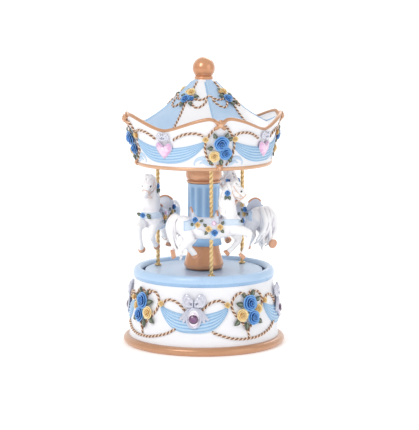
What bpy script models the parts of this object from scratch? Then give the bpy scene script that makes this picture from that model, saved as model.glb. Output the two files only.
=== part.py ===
"""Wind-up carousel music box, modelled in metres with +Z up.

The origin is the middle of the foot's underside.  The front of the box faces -Y, and angles round the
box are measured from the front towards +X.  Sizes below are millimetres; MM turns them into metres.
"""
from math import atan2, cos, exp, hypot, pi, radians, sin, tau

import bmesh
import bpy
from mathutils import Matrix, Vector

MM = 0.001
GAP = 0.3                      # between neighbouring pieces
ROUND = 36                     # facets round the large turned pieces

# Driving dimensions, mm
FOOT_RADIUS = 51.0
TOTAL_HEIGHT = 180.2
DRUM_TOP_RADIUS = 43.6
RIM_CREST = 48.5               # top of the blue rim
RIM_INNER_RADIUS = 38.7
WELL_FLOOR = 40.5              # floor of the well that the turntable turns in
WELL_UNDERSIDE = 37.5
CAVITY_RADIUS = 39.0
COVER_RADIUS = 42.7
COVER_BOTTOM, COVER_TOP = 10.0, 12.5
COVER_SCREW_CIRCLE = 41.0
COVER_SCREWS = (60.0, 180.0, 300.0)        # degrees round the circle
FOOT_TOP = 6.6
TABLE_RADIUS = 37.1
TABLE_BOTTOM, TABLE_TOP = 41.2, 46.5

PLATE_BOTTOM, PLATE_TOP = 14.0, 16.0       # the movement's bedplate
MOVEMENT_FEET = ((-11.0, -14.0), (-11.0, 13.5), (24.5, -16.0))
COMB_SCREWS = (19.0, 26.0)                 # their places along X
COMB_SCREW_Y = -16.0
COMB_TEETH, COMB_PITCH = 18, 0.7
BRACKET_SCREW = (32.6, 14.0)
ALONG_X = (radians(90), 0, radians(90))    # turns a flat piece so that its thickness lies along X
BARREL_FLANGE = 18.3
CROWN_RADIUS = 12.8            # middle of the barrel's crown teeth
CROWN_TEETH, PINION_TEETH = 36, 12
GREAT_TEETH, GOVERNOR_TEETH, WORM_WHEEL_TEETH = 40, 8, 16
PINION_PITCH = CROWN_RADIUS * PINION_TEETH / CROWN_TEETH
CYLINDER_HEIGHT = 24.5         # the pinned cylinder's horizontal axis
CROWN_PITCH = CYLINDER_HEIGHT - PINION_PITCH
CYLINDER_RADIUS = 5.6
CYLINDER_FROM, CYLINDER_TO = 16.2, 29.0
GREAT_PITCH, GOVERNOR_PITCH, WORM_WHEEL_PITCH = 8.0, 1.6, 3.0
GOVERNOR_Y = GREAT_PITCH + GOVERNOR_PITCH + 0.15
WORM_X, WORM_PITCH_RADIUS = 30.2, 1.25
WORM_Y = GOVERNOR_Y + WORM_WHEEL_PITCH + WORM_PITCH_RADIUS + 0.05
WORM_LEAD = tau * WORM_WHEEL_PITCH / WORM_WHEEL_TEETH

POLE_CIRCLE = 31.4
POLE_RADIUS = 1.25
POLE_ANGLES = (8.6, 128.6, 248.6)
CEILING_BOTTOM, CEILING_TOP = 113.5, 115.3

BAND_RADIUS = 42.3             # the canopy's bottom band
CANOPY_BOTTOM = 113.3
VALLEY_RADIUS, PEAK_RADIUS = 45.3, 49.5
VALLEY_HEIGHT, CREST_RISE, KNOT_DIP = 137.4, 8.6, 3.0
FIRST_PEAK = 12.0              # degrees; the canopy has four peaks and four valleys
ROOF_TOP = 165.5
ROOF = ((35, 142.3), (30, 145.5), (26, 148.2), (20, 153.3), (13, 160), (7, ROOF_TOP))  # radius, height
FINIAL_RADIUS = 6.95
FINIAL_CENTRE = TOTAL_HEIGHT - FINIAL_RADIUS

FIRST_BOW, FIRST_HEART = -8.0, 37.0        # degrees, on the base, four of each
BOW_HEIGHT, GEM_HEIGHT, BOUQUET_HEIGHT = 29.5, 24.2, 28.0
CANOPY_HEART_HEIGHT, CANOPY_BOUQUET_HEIGHT = 125.6, 127.5

# Each chain is (forward, outward, height, radius) from one end of a limb to the other.
HORSE_CHAINS = (
    ((-17, 0, 78.2, 6.6), (-8, 0, 76.6, 6.4), (1, 0, 76.2, 6.2), (9, 0, 77.2, 6.4), (13, 0, 79.5, 6.0)),
    ((12, 0, 81, 5.9), (9.6, 0, 90, 4.7), (9.8, 0, 97, 3.9), (13.4, 0, 101.4, 3.5)),
    ((13.6, 0, 101.6, 3.5), (18.0, 0, 97.4, 2.9), (19.8, 0, 94.0, 1.9)),
    ((14.8, 1.6, 103.5, 1.1), (15.3, 2.0, 105.3, 0.8)),
    ((14.8, -1.6, 103.5, 1.1), (15.3, -2.0, 105.3, 0.8)),
    ((8.6, 0, 100.6, 2.2), (6.6, 0, 94, 2.4), (6.6, 0, 87, 2.0)),
    ((-11, 0, 84.0, 3.6), (-11.2, 0, 88.0, 1.5)),
    ((3.0, 0, 82.0, 3.6), (3.4, 0, 86.2, 1.4)),
    ((13, 3, 76, 3.8), (18, 3.3, 73.6, 2.5), (22.6, 3.3, 72.2, 1.8), (20.8, 3.3, 64.5, 1.5), (19.3, 3.3, 60, 1.8)),
    ((13, -3, 76, 3.8), (17.0, -3.3, 69, 2.0), (12.8, -3.3, 63.2, 1.5), (10.2, -3.3, 60.6, 1.8)),
    ((-16, 2.6, 77, 5.0), (-15, 3.4, 71, 3.1), (-21.6, 3.4, 67, 1.9), (-22, 3.4, 60.4, 1.8)),
    ((-15, -2.6, 77, 5.0), (-11.6, -3.4, 70, 3.0), (-14.4, -3.4, 64.6, 1.9), (-9.6, -3.4, 59, 1.8)),
    ((-20.5, 0, 82, 2.4), (-23.6, 0, 79, 2.5), (-24.0, 0, 71, 2.5), (-22.0, 0, 63, 2.1), (-19.6, 0, 57.5, 1.4)),
)
HORSE_GRAIN = 1.05             # size of the skin's squares before it is thinned

COLLECTION = bpy.data.collections.new("carousel_music_box")
CUTTERS = bpy.data.collections.new("cutters")


# ---------------------------------------------------------------- scene, materials, small helpers
def clear_scene():
    for obj in list(bpy.data.objects):
        bpy.data.objects.remove(obj)
    for collection in (COLLECTION, CUTTERS):
        bpy.context.scene.collection.children.link(collection)


def finish_with(obj, colour, roughness, metallic=0.0):
    """Give a piece its own material."""
    material = bpy.data.materials.new(obj.name)
    material.use_nodes = True
    shader = material.node_tree.nodes["Principled BSDF"]
    shader.inputs["Base Color"].default_value = (*colour, 1.0)
    shader.inputs["Roughness"].default_value = roughness
    shader.inputs["Metallic"].default_value = metallic
    obj.data.materials.clear()
    obj.data.materials.append(material)


RESIN = ((0.86, 0.86, 0.91), 0.35)
GOLD_PAINT = ((0.58, 0.31, 0.17), 0.38, 0.6)
BLUE_PAINT = ((0.45, 0.63, 0.85), 0.35)
STEEL = ((0.55, 0.55, 0.57), 0.35, 1.0)
BRASS = ((0.60, 0.40, 0.14), 0.3, 1.0)
ZINC = ((0.40, 0.41, 0.43), 0.5, 0.9)
SILVER = ((0.60, 0.60, 0.75), 0.3, 0.7)
ROSE = ((0.03, 0.16, 0.51), 0.45)
VIOLET = ((0.13, 0.04, 0.12), 0.1)
PINK = ((0.83, 0.50, 0.75), 0.1)
TABLE_BLUE = ((0.48, 0.61, 0.72), 0.4)
BLACK = ((0.09, 0.09, 0.10), 0.6)


def add(name, data, finish, place=(0, 0, 0), turn=(0, 0, 0)):
    """Put a mesh or curve into the object's collection as one named piece."""
    obj = bpy.data.objects.new(name, data)
    COLLECTION.objects.link(obj)
    obj.location = Vector(place) * MM
    obj.rotation_euler = turn
    finish_with(obj, *finish)
    return obj


def mesh_from(name, bm):
    """Turn a bmesh in millimetres into a smooth-shaded mesh in metres."""
    bmesh.ops.scale(bm, vec=(MM, MM, MM), verts=bm.verts)
    bmesh.ops.recalc_face_normals(bm, faces=bm.faces)
    mesh = bpy.data.meshes.new(name)
    bm.to_mesh(mesh)
    bm.free()
    mesh.shade_smooth()
    mesh.set_sharp_from_angle(angle=radians(35))
    return mesh


def spot(angle, radius):
    """The point at an angle in degrees from the front, towards +X."""
    return (radius * sin(radians(angle)), -radius * cos(radians(angle)))


def turned(name, section, steps, finish, place=(0, 0, 0), turn=(0, 0, 0)):
    """A turned piece: a closed section of (radius, height) spun round Z.

    The section runs down the outer side and back up the inner one.
    """
    bm = bmesh.new()
    verts = [bm.verts.new((r, 0.0, z)) for r, z in section]
    for first, second in zip(verts, verts[1:]):
        bm.edges.new((first, second))
    if section[0][0] > 0.0 or section[-1][0] > 0.0:
        bm.edges.new((verts[-1], verts[0]))
    bmesh.ops.scale(bm, vec=(MM, MM, MM), verts=bm.verts)
    mesh = bpy.data.meshes.new(name)
    bm.to_mesh(mesh)
    bm.free()
    obj = add(name, mesh, finish, place, turn)
    screw = obj.modifiers.new("turn", "SCREW")
    screw.steps = screw.render_steps = steps
    screw.use_merge_vertices = True
    screw.merge_threshold = 0.00001
    screw.use_smooth_shade = True
    return obj


def rod(name, radius, low, high, finish, steps=16, place=(0, 0, 0), turn=(0, 0, 0)):
    return turned(name, [(0, high), (radius, high), (radius, low), (0, low)], steps, finish, place, turn)


def baked(obj):
    """Replace a piece's modifiers or curve by the plain mesh that they make."""
    bpy.context.view_layer.update()
    graph = bpy.context.evaluated_depsgraph_get()
    mesh = bpy.data.meshes.new_from_object(obj.evaluated_get(graph))
    bm = bmesh.new()
    bm.from_mesh(mesh)
    bmesh.ops.remove_doubles(bm, verts=bm.verts, dist=0.000001)
    bm.to_mesh(mesh)
    bm.free()
    fresh = bpy.data.objects.new(obj.name + "_mesh", mesh)
    fresh.matrix_world = obj.matrix_world
    for collection in obj.users_collection:
        collection.objects.link(fresh)
    name = obj.name
    bpy.data.objects.remove(obj)
    fresh.name = name
    return fresh


def flat(name, outlines, low, high, finish, place=(0, 0, 0), turn=(0, 0, 0)):
    """A flat piece: outlines in millimetres, the first the edge and the rest holes."""
    curve = bpy.data.curves.new(name, "CURVE")
    curve.dimensions = "2D"
    curve.fill_mode = "BOTH"
    curve.extrude = (high - low) / 2 * MM
    for outline in outlines:
        spline = curve.splines.new("POLY")
        spline.points.add(len(outline) - 1)
        spline.use_cyclic_u = True
        for point, (x, y) in zip(spline.points, outline):
            point.co = (x * MM, y * MM, 0.0, 1.0)
    turning = Matrix.Rotation(turn[2], 3, "Z") @ Matrix.Rotation(turn[1], 3, "Y")
    turning = turning @ Matrix.Rotation(turn[0], 3, "X")
    middle = Vector(place) + turning @ Vector((0, 0, (low + high) / 2))
    return baked(add(name, curve, finish, middle, turn))


def circle(radius, points, x=0.0, y=0.0):
    return [(x + radius * cos(tau * i / points), y + radius * sin(tau * i / points)) for i in range(points)]


def box(name, low, high, finish=STEEL):
    bm = bmesh.new()
    bmesh.ops.create_cube(bm, size=1.0)
    size = [b - a for a, b in zip(low, high)]
    middle = [(a + b) / 2 for a, b in zip(low, high)]
    bmesh.ops.scale(bm, vec=size, verts=bm.verts)
    bmesh.ops.translate(bm, vec=middle, verts=bm.verts)
    return add(name, mesh_from(name, bm), finish)


def boolean(obj, other, operation):
    """Cut a piece with another, or join the other to it; the other becomes a hidden cutter."""
    for collection in other.users_collection:
        collection.objects.unlink(other)
    CUTTERS.objects.link(other)
    other.hide_render = True
    other.display_type = "WIRE"
    step = obj.modifiers.new(other.name, "BOOLEAN")
    step.operation = operation
    step.solver = "EXACT"
    step.object = other


def drill(obj, radius, x, y, low, high, sides=12):
    """Cut a round hole parallel to Z."""
    boolean(obj, rod(obj.name + "_hole", radius, low, high, STEEL, sides, (x, y, 0)), "DIFFERENCE")


def screw_piece(name, head_radius, shank_radius, head_from, head_to, end, x, y):
    """A round-head screw whose shank ends at a height; the head is the thick end."""
    if end > head_to:
        section = [(0, end), (shank_radius, end), (shank_radius, head_to), (head_radius, head_to),
                   (head_radius, head_from), (0, head_from)]
    else:
        section = [(0, head_to), (head_radius, head_to), (head_radius, head_from),
                   (shank_radius, head_from), (shank_radius, end), (0, end)]
    turned(name, section, 10, STEEL, (x, y, 0))


# ---------------------------------------------------------------- base casting, cover and bush
def drum_radius(height):
    """The drum's outer radius at a height above the foot ring."""
    share = (41.0 - height) / 32.4
    return DRUM_TOP_RADIUS + 3.4 * share ** 0.8 if share > 0 else DRUM_TOP_RADIUS


def base_housing():
    rim = [(41.3, RIM_CREST), (43.2, 47.6), (44.0, 45.0), (43.4, 42.2)]
    drum = [(drum_radius(z), z) for z in (41.0, 30.0, 19.0, FOOT_TOP)]
    foot = [(49.4, 6.0), (50.7, 4.8), (FOOT_RADIUS, 3.1), (50.7, 1.4), (49.6, 0.0), (43.0, 0.0)]
    inside = [(43.0, 12.8), (CAVITY_RADIUS, 12.8), (CAVITY_RADIUS, WELL_UNDERSIDE), (6.0, WELL_UNDERSIDE),
              (6.0, WELL_FLOOR), (RIM_INNER_RADIUS, WELL_FLOOR), (38.9, 46.6), (39.9, 48.1)]
    housing = turned("base_housing", rim + drum + foot + inside, ROUND, RESIN)
    for angle in COVER_SCREWS:
        drill(housing, 1.2, *spot(angle, COVER_SCREW_CIRCLE), 11.0, 20.0)


def bottom_cover():
    cover = turned("bottom_cover", [(5.0, COVER_TOP), (COVER_RADIUS, COVER_TOP), (COVER_RADIUS, COVER_BOTTOM),
                                    (5.0, COVER_BOTTOM)], ROUND, BLACK)
    for number, angle in enumerate(COVER_SCREWS, 1):
        x, y = spot(angle, COVER_SCREW_CIRCLE)
        drill(cover, 1.2, x, y, 9.0, 14.0)
        screw_piece(f"cover_screw_{number}", 1.6, 0.9, 8.9, 9.7, 18.0, x, y)
    for number, (x, y) in enumerate(MOVEMENT_FEET, 1):
        drill(cover, 1.3, x, y, 9.0, 14.0)
        screw_piece(f"movement_screw_{number}", 2.0, 1.0, 8.7, 9.7, 15.0, x, y)


def turntable_bush():
    turned("turntable_bush", [(4.3, WELL_FLOOR), (5.7, WELL_FLOOR), (5.7, 37.2), (7.6, 37.2), (7.6, 36.2),
                              (4.3, 36.2)], 24, BRASS)


# ---------------------------------------------------------------- decoration on the base and canopy
def pad(name, angle, height, wide, high, thick, lift, surface, finish, outline=lambda a: 1.0):
    """A domed pad wrapped on a surface of revolution: a sphere with its back half pressed flat.

    surface(angle, height) gives the radius below the pad, and lift is the gap to it.
    """
    bm = bmesh.new()
    bmesh.ops.create_uvsphere(bm, u_segments=6, v_segments=8, radius=1.0)
    bmesh.ops.rotate(bm, matrix=Matrix.Rotation(-pi / 2, 3, "X"), verts=bm.verts)
    for vert in bm.verts:
        x, depth, z = vert.co
        shape = outline(atan2(x, z)) if hypot(x, z) > 0.001 else 1.0
        across, up = x * shape * wide / 2, z * shape * high / 2
        ground = surface(angle, height + up)
        turn = angle + across / ground * 180 / pi
        radius = surface(turn, height + up) + lift + thick * max(0.0, -depth)
        vert.co = (*spot(turn, radius), height + up)
    add(name, mesh_from(name, bm), finish)


def on_drum(angle, height):
    return drum_radius(height)


def base_decoration():
    for number in range(4):
        bow = FIRST_BOW + 90 * number
        heart = FIRST_HEART + 90 * number
        pad(f"base_bow_{number + 1}", bow, BOW_HEIGHT, 15.0, 17.0, 1.5, GAP, on_drum, SILVER,
            lambda a: 0.72 + 0.28 * abs(sin(a)) + 0.2 * (cos(a) < -0.3))
        pad(f"base_gem_{number + 1}", bow, GEM_HEIGHT, 6.4, 6.0, 1.2, 2.1, on_drum, VIOLET)
        pad(f"base_bouquet_{number + 1}", heart, BOUQUET_HEIGHT, 17.0, 20.0, 3.6, GAP, on_drum, ROSE,
            lambda a: 1.0 - 0.12 * (cos(a) > 0.95))


def canopy_decoration():
    for number in range(4):
        peak = FIRST_PEAK + 90 * number
        pad(f"heart_gem_{number + 1}", peak - 45, CANOPY_HEART_HEIGHT, 8.4, 9.4, 2.2, GAP, valance_radius, PINK,
            lambda a: 1.0 - 0.18 * (cos(a) > 0.9))
        pad(f"canopy_bouquet_{number + 1}", peak, CANOPY_BOUQUET_HEIGHT, 15.0, 16.0, 4.0, GAP, valance_radius, ROSE)


# ---------------------------------------------------------------- musical movement
def gear_outline(teeth, root, tip, share, phase=0.0):
    """A gear's edge; share is how much of the pitch a tooth takes."""
    points = []
    step = tau / teeth
    for tooth in range(teeth):
        for radius, side in ((root, -1.3), (tip, -0.6), (tip, 0.6), (root, 1.3)):
            angle = (tooth + phase) * step + side * share * step / 2
            points.append((radius * cos(angle), radius * sin(angle)))
    return points


def bedplate():
    edge = [(-17, -14), (-11, -20), (28, -20.5), (35.2, -12), (35.2, 15), (33, 19), (-11, 19), (-17, 14)]
    plate = flat("movement_bedplate", [edge, circle(3.0, 16)], PLATE_BOTTOM, PLATE_TOP, ZINC)
    joined = [box("comb_boss", (15.5, -19.0, 15.0), (29.5, -11.0, 23.7)),
              box("inner_bearing", (14.8, -2.5, 15.0), (15.8, 2.5, 27.0)),
              box("outer_bearing", (33.4, -2.5, 15.0), (34.8, 2.5, 27.0))]
    joined += [rod("foot", 3.0, COVER_TOP + GAP, 15.0, ZINC, 12, (x, y, 0)) for x, y in MOVEMENT_FEET]
    for piece in joined:
        boolean(plate, piece, "UNION")
    for x, y in MOVEMENT_FEET:
        drill(plate, 1.3, x, y, 11.0, 15.3)
    bore = rod("cylinder_bore", 1.4, 13.8, 36.0, ZINC, 12, (0, 0, CYLINDER_HEIGHT), (0, radians(90), 0))
    boolean(plate, bore, "DIFFERENCE")
    for x in COMB_SCREWS:
        drill(plate, 1.1, x, COMB_SCREW_Y, 18.0, 25.0)
    drill(plate, 0.9, *BRACKET_SCREW, 14.6, 17.0, 10)


def comb():
    """The steel comb: eighteen teeth that the cylinder's pins pluck."""
    first = (CYLINDER_FROM + CYLINDER_TO - COMB_TEETH * COMB_PITCH) / 2
    tips = []
    for tooth in range(COMB_TEETH):
        left = first + tooth * COMB_PITCH
        right = left + COMB_PITCH * 0.62
        tips += [(left, -12.4), (left, -6.4), (right, -6.4), (right, -12.4)]
    edge = [(15.5, -19.0), (15.5, -12.4)] + tips + [(29.5, -12.4), (29.5, -19.0)]
    holes = [circle(1.1, 10, x, COMB_SCREW_Y) for x in COMB_SCREWS]
    flat("comb", [edge[::-1]] + holes, 24.0, 25.0, STEEL)
    for number, x in enumerate(COMB_SCREWS, 1):
        screw_piece(f"comb_screw_{number}", 1.8, 0.8, 25.3, 26.3, 18.6, x, COMB_SCREW_Y)


def pinned_cylinder():
    """The brass cylinder with its pins, crown pinion and great wheel, on one arbor along X."""
    start, end, radius = CYLINDER_FROM, CYLINDER_TO, CYLINDER_RADIUS
    section = [(0, 35.0), (1.0, 35.0), (1.0, end - 1.5), (4.8, end - 1.5), (4.8, end), (radius, end),
               (radius, start), (4.8, start), (4.8, start + 1.5), (1.0, start + 1.5), (1.0, 11.2), (0, 11.2)]
    body = turned("pinned_cylinder", section, 16, BRASS, (0, 0, CYLINDER_HEIGHT), (0, radians(90), 0))
    pins = bmesh.new()
    for number in range(12):
        angle = number * 2.4
        along = start + 0.9 + (number * 5 % 18) * COMB_PITCH * 0.9
        middle = Vector(((radius - 0.05) * cos(angle), (radius - 0.05) * sin(angle), along))
        pin = bmesh.ops.create_cube(pins, size=1.0)["verts"]
        bmesh.ops.scale(pins, vec=(0.7, 0.28, 0.28), verts=pin)
        bmesh.ops.rotate(pins, matrix=Matrix.Rotation(angle, 3, "Z"), verts=pin)
        bmesh.ops.translate(pins, vec=middle, verts=pin)
    pins_piece = add("cylinder_pins", mesh_from("cylinder_pins", pins), STEEL, (0, 0, CYLINDER_HEIGHT),
                     (0, radians(90), 0))
    boolean(body, pins_piece, "UNION")
    axle = (0, 0, CYLINDER_HEIGHT)
    pinion = flat("crown_pinion", [gear_outline(PINION_TEETH, PINION_PITCH - 0.95, PINION_PITCH + 0.6, 0.35,
                                                0.5)], 11.4, 13.7, BRASS, axle, ALONG_X)
    great = flat("great_wheel", [gear_outline(GREAT_TEETH, GREAT_PITCH - 0.5, GREAT_PITCH + 0.35, 0.36)],
                 31.6, 32.9, BRASS, axle, ALONG_X)
    boolean(body, pinion, "UNION")
    boolean(body, great, "UNION")


def governor():
    """The governor's bracket, its wheel, and the fly: a worm with an air brake that sets the speed."""
    bracket = box("governor_bracket", (26.8, 7.5, PLATE_TOP + GAP), (34.6, 15.6, 17.3), STEEL)
    for name, low, high in (("near_lug", (27.0, 8.0, 16.8), (28.2, 15.6, 28.5)),
                            ("far_lug", (33.4, 8.0, 16.8), (34.6, 11.5, 26.5)),
                            ("fly_arm", (27.6, 12.2, 28.0), (32.0, 15.6, 29.0))):
        boolean(bracket, box(name, low, high), "UNION")
    wheel_bore = rod("wheel_bore", 1.0, 26.0, 36.0, STEEL, 10, (0, GOVERNOR_Y, CYLINDER_HEIGHT),
                     (0, radians(90), 0))
    boolean(bracket, wheel_bore, "DIFFERENCE")
    drill(bracket, 0.95, WORM_X, WORM_Y, 27.0, 30.0, 10)
    drill(bracket, 0.9, *BRACKET_SCREW, 16.0, 18.0, 10)
    screw_piece("bracket_screw", 1.2, 0.6, 17.6, 18.4, 15.0, *BRACKET_SCREW)

    axle = (0, GOVERNOR_Y, CYLINDER_HEIGHT)
    wheel = rod("governor_wheel", 0.7, 27.1, 34.5, BRASS, 10, axle, (0, radians(90), 0))
    pinion = gear_outline(GOVERNOR_TEETH, GOVERNOR_PITCH - 0.45, GOVERNOR_PITCH + 0.4, 0.36, 0.5)
    worm_wheel = gear_outline(WORM_WHEEL_TEETH, WORM_WHEEL_PITCH - 0.45, WORM_WHEEL_PITCH + 0.3, 0.28, 0.25)
    boolean(wheel, flat("governor_pinion", [pinion], 31.3, 33.1, BRASS, axle, ALONG_X), "UNION")
    boolean(wheel, flat("worm_wheel", [worm_wheel], WORM_X - 0.5, WORM_X + 0.5, BRASS, axle, ALONG_X), "UNION")

    place = (WORM_X, WORM_Y, 0)
    fly = turned("fly", [(0, 34.5), (0.6, 34.5), (0.6, 27.6), (0.9, 27.6), (0.9, 17.6), (0, 17.6)], 12, STEEL,
                 place)
    thread = bpy.data.curves.new("worm_thread", "CURVE")
    thread.dimensions = "3D"
    thread.bevel_depth = 0.34 * MM
    thread.bevel_resolution = 0
    thread.use_fill_caps = True
    points = [n / 10 for n in range(-19, 20)]
    spline = thread.splines.new("POLY")
    spline.points.add(len(points) - 1)
    for point, turn in zip(spline.points, points):
        angle = tau * turn
        height = CYLINDER_HEIGHT + WORM_LEAD * turn
        point.co = (1.06 * cos(angle) * MM, 1.06 * sin(angle) * MM, height * MM, 1.0)
    boolean(fly, baked(add("worm_thread", thread, STEEL, place)), "UNION")
    blade = box("air_brake", (-3.0, -0.3, 30.0), (3.0, 0.3, 33.6))
    blade.location = Vector(place) * MM
    boolean(fly, blade, "UNION")


def ratchet_outline(teeth=12, root=4.5, tip=5.4):
    points = []
    for tooth in range(teeth):
        start = tau * tooth / teeth
        points.append((tip * cos(start), tip * sin(start)))
        points.append((root * cos(start + 0.06), root * sin(start + 0.06)))
    return points


def winding():
    """The key under the base, its arbor and the ratchet wheel, which turn together."""
    turned("winding_arbor", [(0, 28.0), (3.2, 28.0), (3.2, 20.0), (2.0, 20.0), (2.0, 5.6), (0, 5.6)], 16, STEEL)
    flat("ratchet_wheel", [ratchet_outline(), circle(2.3, 16)], 16.5, 17.4, STEEL)
    wing = [(2.4, 5.4), (6.0, 7.4), (10.0, 7.8), (12.6, 6.0), (12.9, 4.0), (11.8, 1.9), (8.0, 1.3), (2.4, 2.4)]
    outline = wing + [(-x, y) for x, y in wing[::-1]]
    holes = [circle(1.5, 12, side * 8.8, 4.6) for side in (-1, 1)]
    upright = (radians(90), 0, 0)
    key = flat("winding_key", [outline[::-1]] + holes, -0.9, 0.9, BRASS, (0, 0, 0), upright)
    hub = turned("key_hub", [(0, 9.2), (3.4, 9.2), (3.4, 1.6), (0, 1.6)], 16, BRASS)
    boolean(key, hub, "UNION")
    drill(key, 2.3, 0, 0, 5.3, 10.0, 16)
    click = [(5.75, 0.4), (7.4, 1.4), (11.0, -3.0), (12.2, -5.4), (11.4, -7.0), (9.6, -6.6), (8.2, -4.4)]
    flat("ratchet_click", [click[::-1]], PLATE_TOP + GAP, 17.2, STEEL)


def spring_barrel():
    """The barrel with its crown teeth, its lid, and the coiled mainspring inside."""
    section = [(4.2, 33.5), (4.2, 29.8), (10.0, 29.8), (10.0, 19.3), (14.2, 19.3), (14.2, BARREL_FLANGE),
               (8.8, BARREL_FLANGE), (8.8, 28.6), (0, 28.6)]
    section = [(0, 30.0), (2.3, 30.0), (2.3, 33.5)] + section
    barrel = turned("spring_barrel", section, 20, BRASS)
    teeth = bmesh.new()
    for number in range(CROWN_TEETH):
        tooth = bmesh.ops.create_cube(teeth, size=1.0)["verts"]
        low, high = 19.0, CROWN_PITCH + 0.5
        for vert in tooth:
            upper = vert.co.z > 0
            vert.co.x = CROWN_RADIUS + vert.co.x * 2.3
            vert.co.y *= 0.5 if upper else 0.9
            vert.co.z = high if upper else low
        turn = Matrix.Rotation(tau * number / CROWN_TEETH, 3, "Z")
        bmesh.ops.rotate(teeth, matrix=turn, verts=tooth)
    boolean(barrel, add("crown_teeth", mesh_from("crown_teeth", teeth), BRASS), "UNION")
    turned("barrel_lid", [(2.6, 19.3), (8.5, 19.3), (8.5, BARREL_FLANGE), (2.6, BARREL_FLANGE)], 24, BRASS)

    turns, per_turn, inner, outer, strip = 3.5, 12, 3.9, 8.1, 0.3
    count = int(turns * per_turn)
    path = [(inner + (outer - inner) * n / count, tau * n / per_turn) for n in range(count + 1)]
    edge = [((r + strip) * cos(a), (r + strip) * sin(a)) for r, a in path]
    edge += [(r * cos(a), r * sin(a)) for r, a in path[::-1]]
    flat("mainspring", [edge], 19.9, 28.0, STEEL)
    rod("drive_shaft", 2.0, 30.3, 42.2, STEEL)


# ---------------------------------------------------------------- turntable, column and poles
def turntable():
    section = [(1.8, TABLE_TOP), (36.4, TABLE_TOP), (TABLE_RADIUS, 45.9), (TABLE_RADIUS, TABLE_BOTTOM),
               (4.0, TABLE_BOTTOM), (4.0, 36.0), (2.3, 36.0), (2.3, 42.5), (0, 42.5)]
    section = [(0, 43.5), (1.8, 43.5)] + section
    table = turned("turntable", section, ROUND, TABLE_BLUE)
    for angle in POLE_ANGLES:
        drill(table, POLE_RADIUS + GAP, *spot(angle, POLE_CIRCLE), 43.2, 48.0, 10)


def column():
    bore = POLE_RADIUS + 0.55
    rod("tie_rod", 1.5, 43.9, 170.5, STEEL, 12)
    urn = [(bore, 61.8), (9.8, 61.8), (10.0, 60.0), (10.6, 57.0), (12.0, 53.0), (12.5, 50.0), (11.9, 47.4),
           (11.2, 46.8), (bore, 46.8)]
    turned("column_base", urn, 20, GOLD_PAINT)
    shaft = [(bore, 101.2), (10.0, 101.2), (10.0, 67.5), (10.3, 66.6), (11.3, 63.4), (11.5, 62.1), (bore, 62.1)]
    turned("column_shaft", shaft, 20, BLUE_PAINT)
    capital = [(bore, 113.2), (11.3, 113.2), (11.3, 111.6), (10.4, 111.0), (11.0, 108.6), (11.3, 106.6),
               (10.6, 104.6), (10.2, 103.8), (11.2, 103.0), (11.2, 101.5), (bore, 101.5)]
    turned("column_capital", capital, 20, GOLD_PAINT)


def poles_and_horses():
    mesh = horse_mesh()
    for number, angle in enumerate(POLE_ANGLES, 1):
        place = (*spot(angle, POLE_CIRCLE), 0)
        pole = [(0, 114.8), (POLE_RADIUS, 114.8), (POLE_RADIUS, 47.6), (2.2, 47.6), (2.2, 46.8),
                (POLE_RADIUS, 46.8), (POLE_RADIUS, 43.5), (0, 43.5)]
        turned(f"pole_{number}", pole, 12, BRASS, place)
        horse = add(f"horse_{number}", mesh.copy(), RESIN, place, (0, 0, radians(angle)))
        boolean(horse, rod(f"horse_{number}_bore", POLE_RADIUS + GAP, 60.0, 95.0, STEEL, 12, place), "DIFFERENCE")


def horse_mesh():
    """One horse as a single skin over tapered limbs, standing on its pole's axis, facing local +X."""
    bm = bmesh.new()
    for chain in HORSE_CHAINS:
        for forward, outward, height, radius in chain:
            ball = bmesh.ops.create_icosphere(bm, subdivisions=2, radius=radius)["verts"]
            bmesh.ops.translate(bm, vec=(forward, -outward, height), verts=ball)
        for one, two in zip(chain, chain[1:]):
            start = Vector((one[0], -one[1], one[2]))
            run = Vector((two[0], -two[1], two[2])) - start
            limb = bmesh.ops.create_cone(bm, cap_ends=True, segments=12, radius1=one[3], radius2=two[3],
                                         depth=run.length)["verts"]
            bmesh.ops.rotate(bm, matrix=run.to_track_quat("Z", "Y").to_matrix(), verts=limb)
            bmesh.ops.translate(bm, vec=start + run / 2, verts=limb)
    rough = add("horse_rough", mesh_from("horse_rough", bm), RESIN)
    skin = rough.modifiers.new("skin", "REMESH")
    skin.mode = "VOXEL"
    skin.voxel_size = HORSE_GRAIN * MM
    smooth = rough.modifiers.new("smooth", "SMOOTH")
    smooth.factor, smooth.iterations = 0.5, 2
    thin = rough.modifiers.new("thin", "DECIMATE")
    thin.ratio = 0.08
    solid = baked(rough)
    mesh = solid.data
    bpy.data.objects.remove(solid)
    return mesh


# ---------------------------------------------------------------- canopy
def peak_share(angle):
    """1 at a peak of the canopy's rim, 0 in a valley."""
    return (1 + cos(radians(4 * (angle - FIRST_PEAK)))) / 2


def rim(angle):
    """The rim's radius and height at an angle."""
    share = peak_share(angle)
    from_peak = (angle - FIRST_PEAK + 45) % 90 - 45
    knot = KNOT_DIP * exp(-(from_peak / 4.5) ** 2)
    radius = VALLEY_RADIUS + (PEAK_RADIUS - VALLEY_RADIUS) * share
    return radius, VALLEY_HEIGHT + CREST_RISE * share ** 0.8 - knot


def valance_radius(angle, height):
    """The outside of the flared valance below the rim."""
    radius, top = rim(angle)
    share = min(1.0, max(0.0, (height - 116.0) / (top - 116.0)))
    return BAND_RADIUS + (radius - BAND_RADIUS) * share ** 1.6


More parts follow.
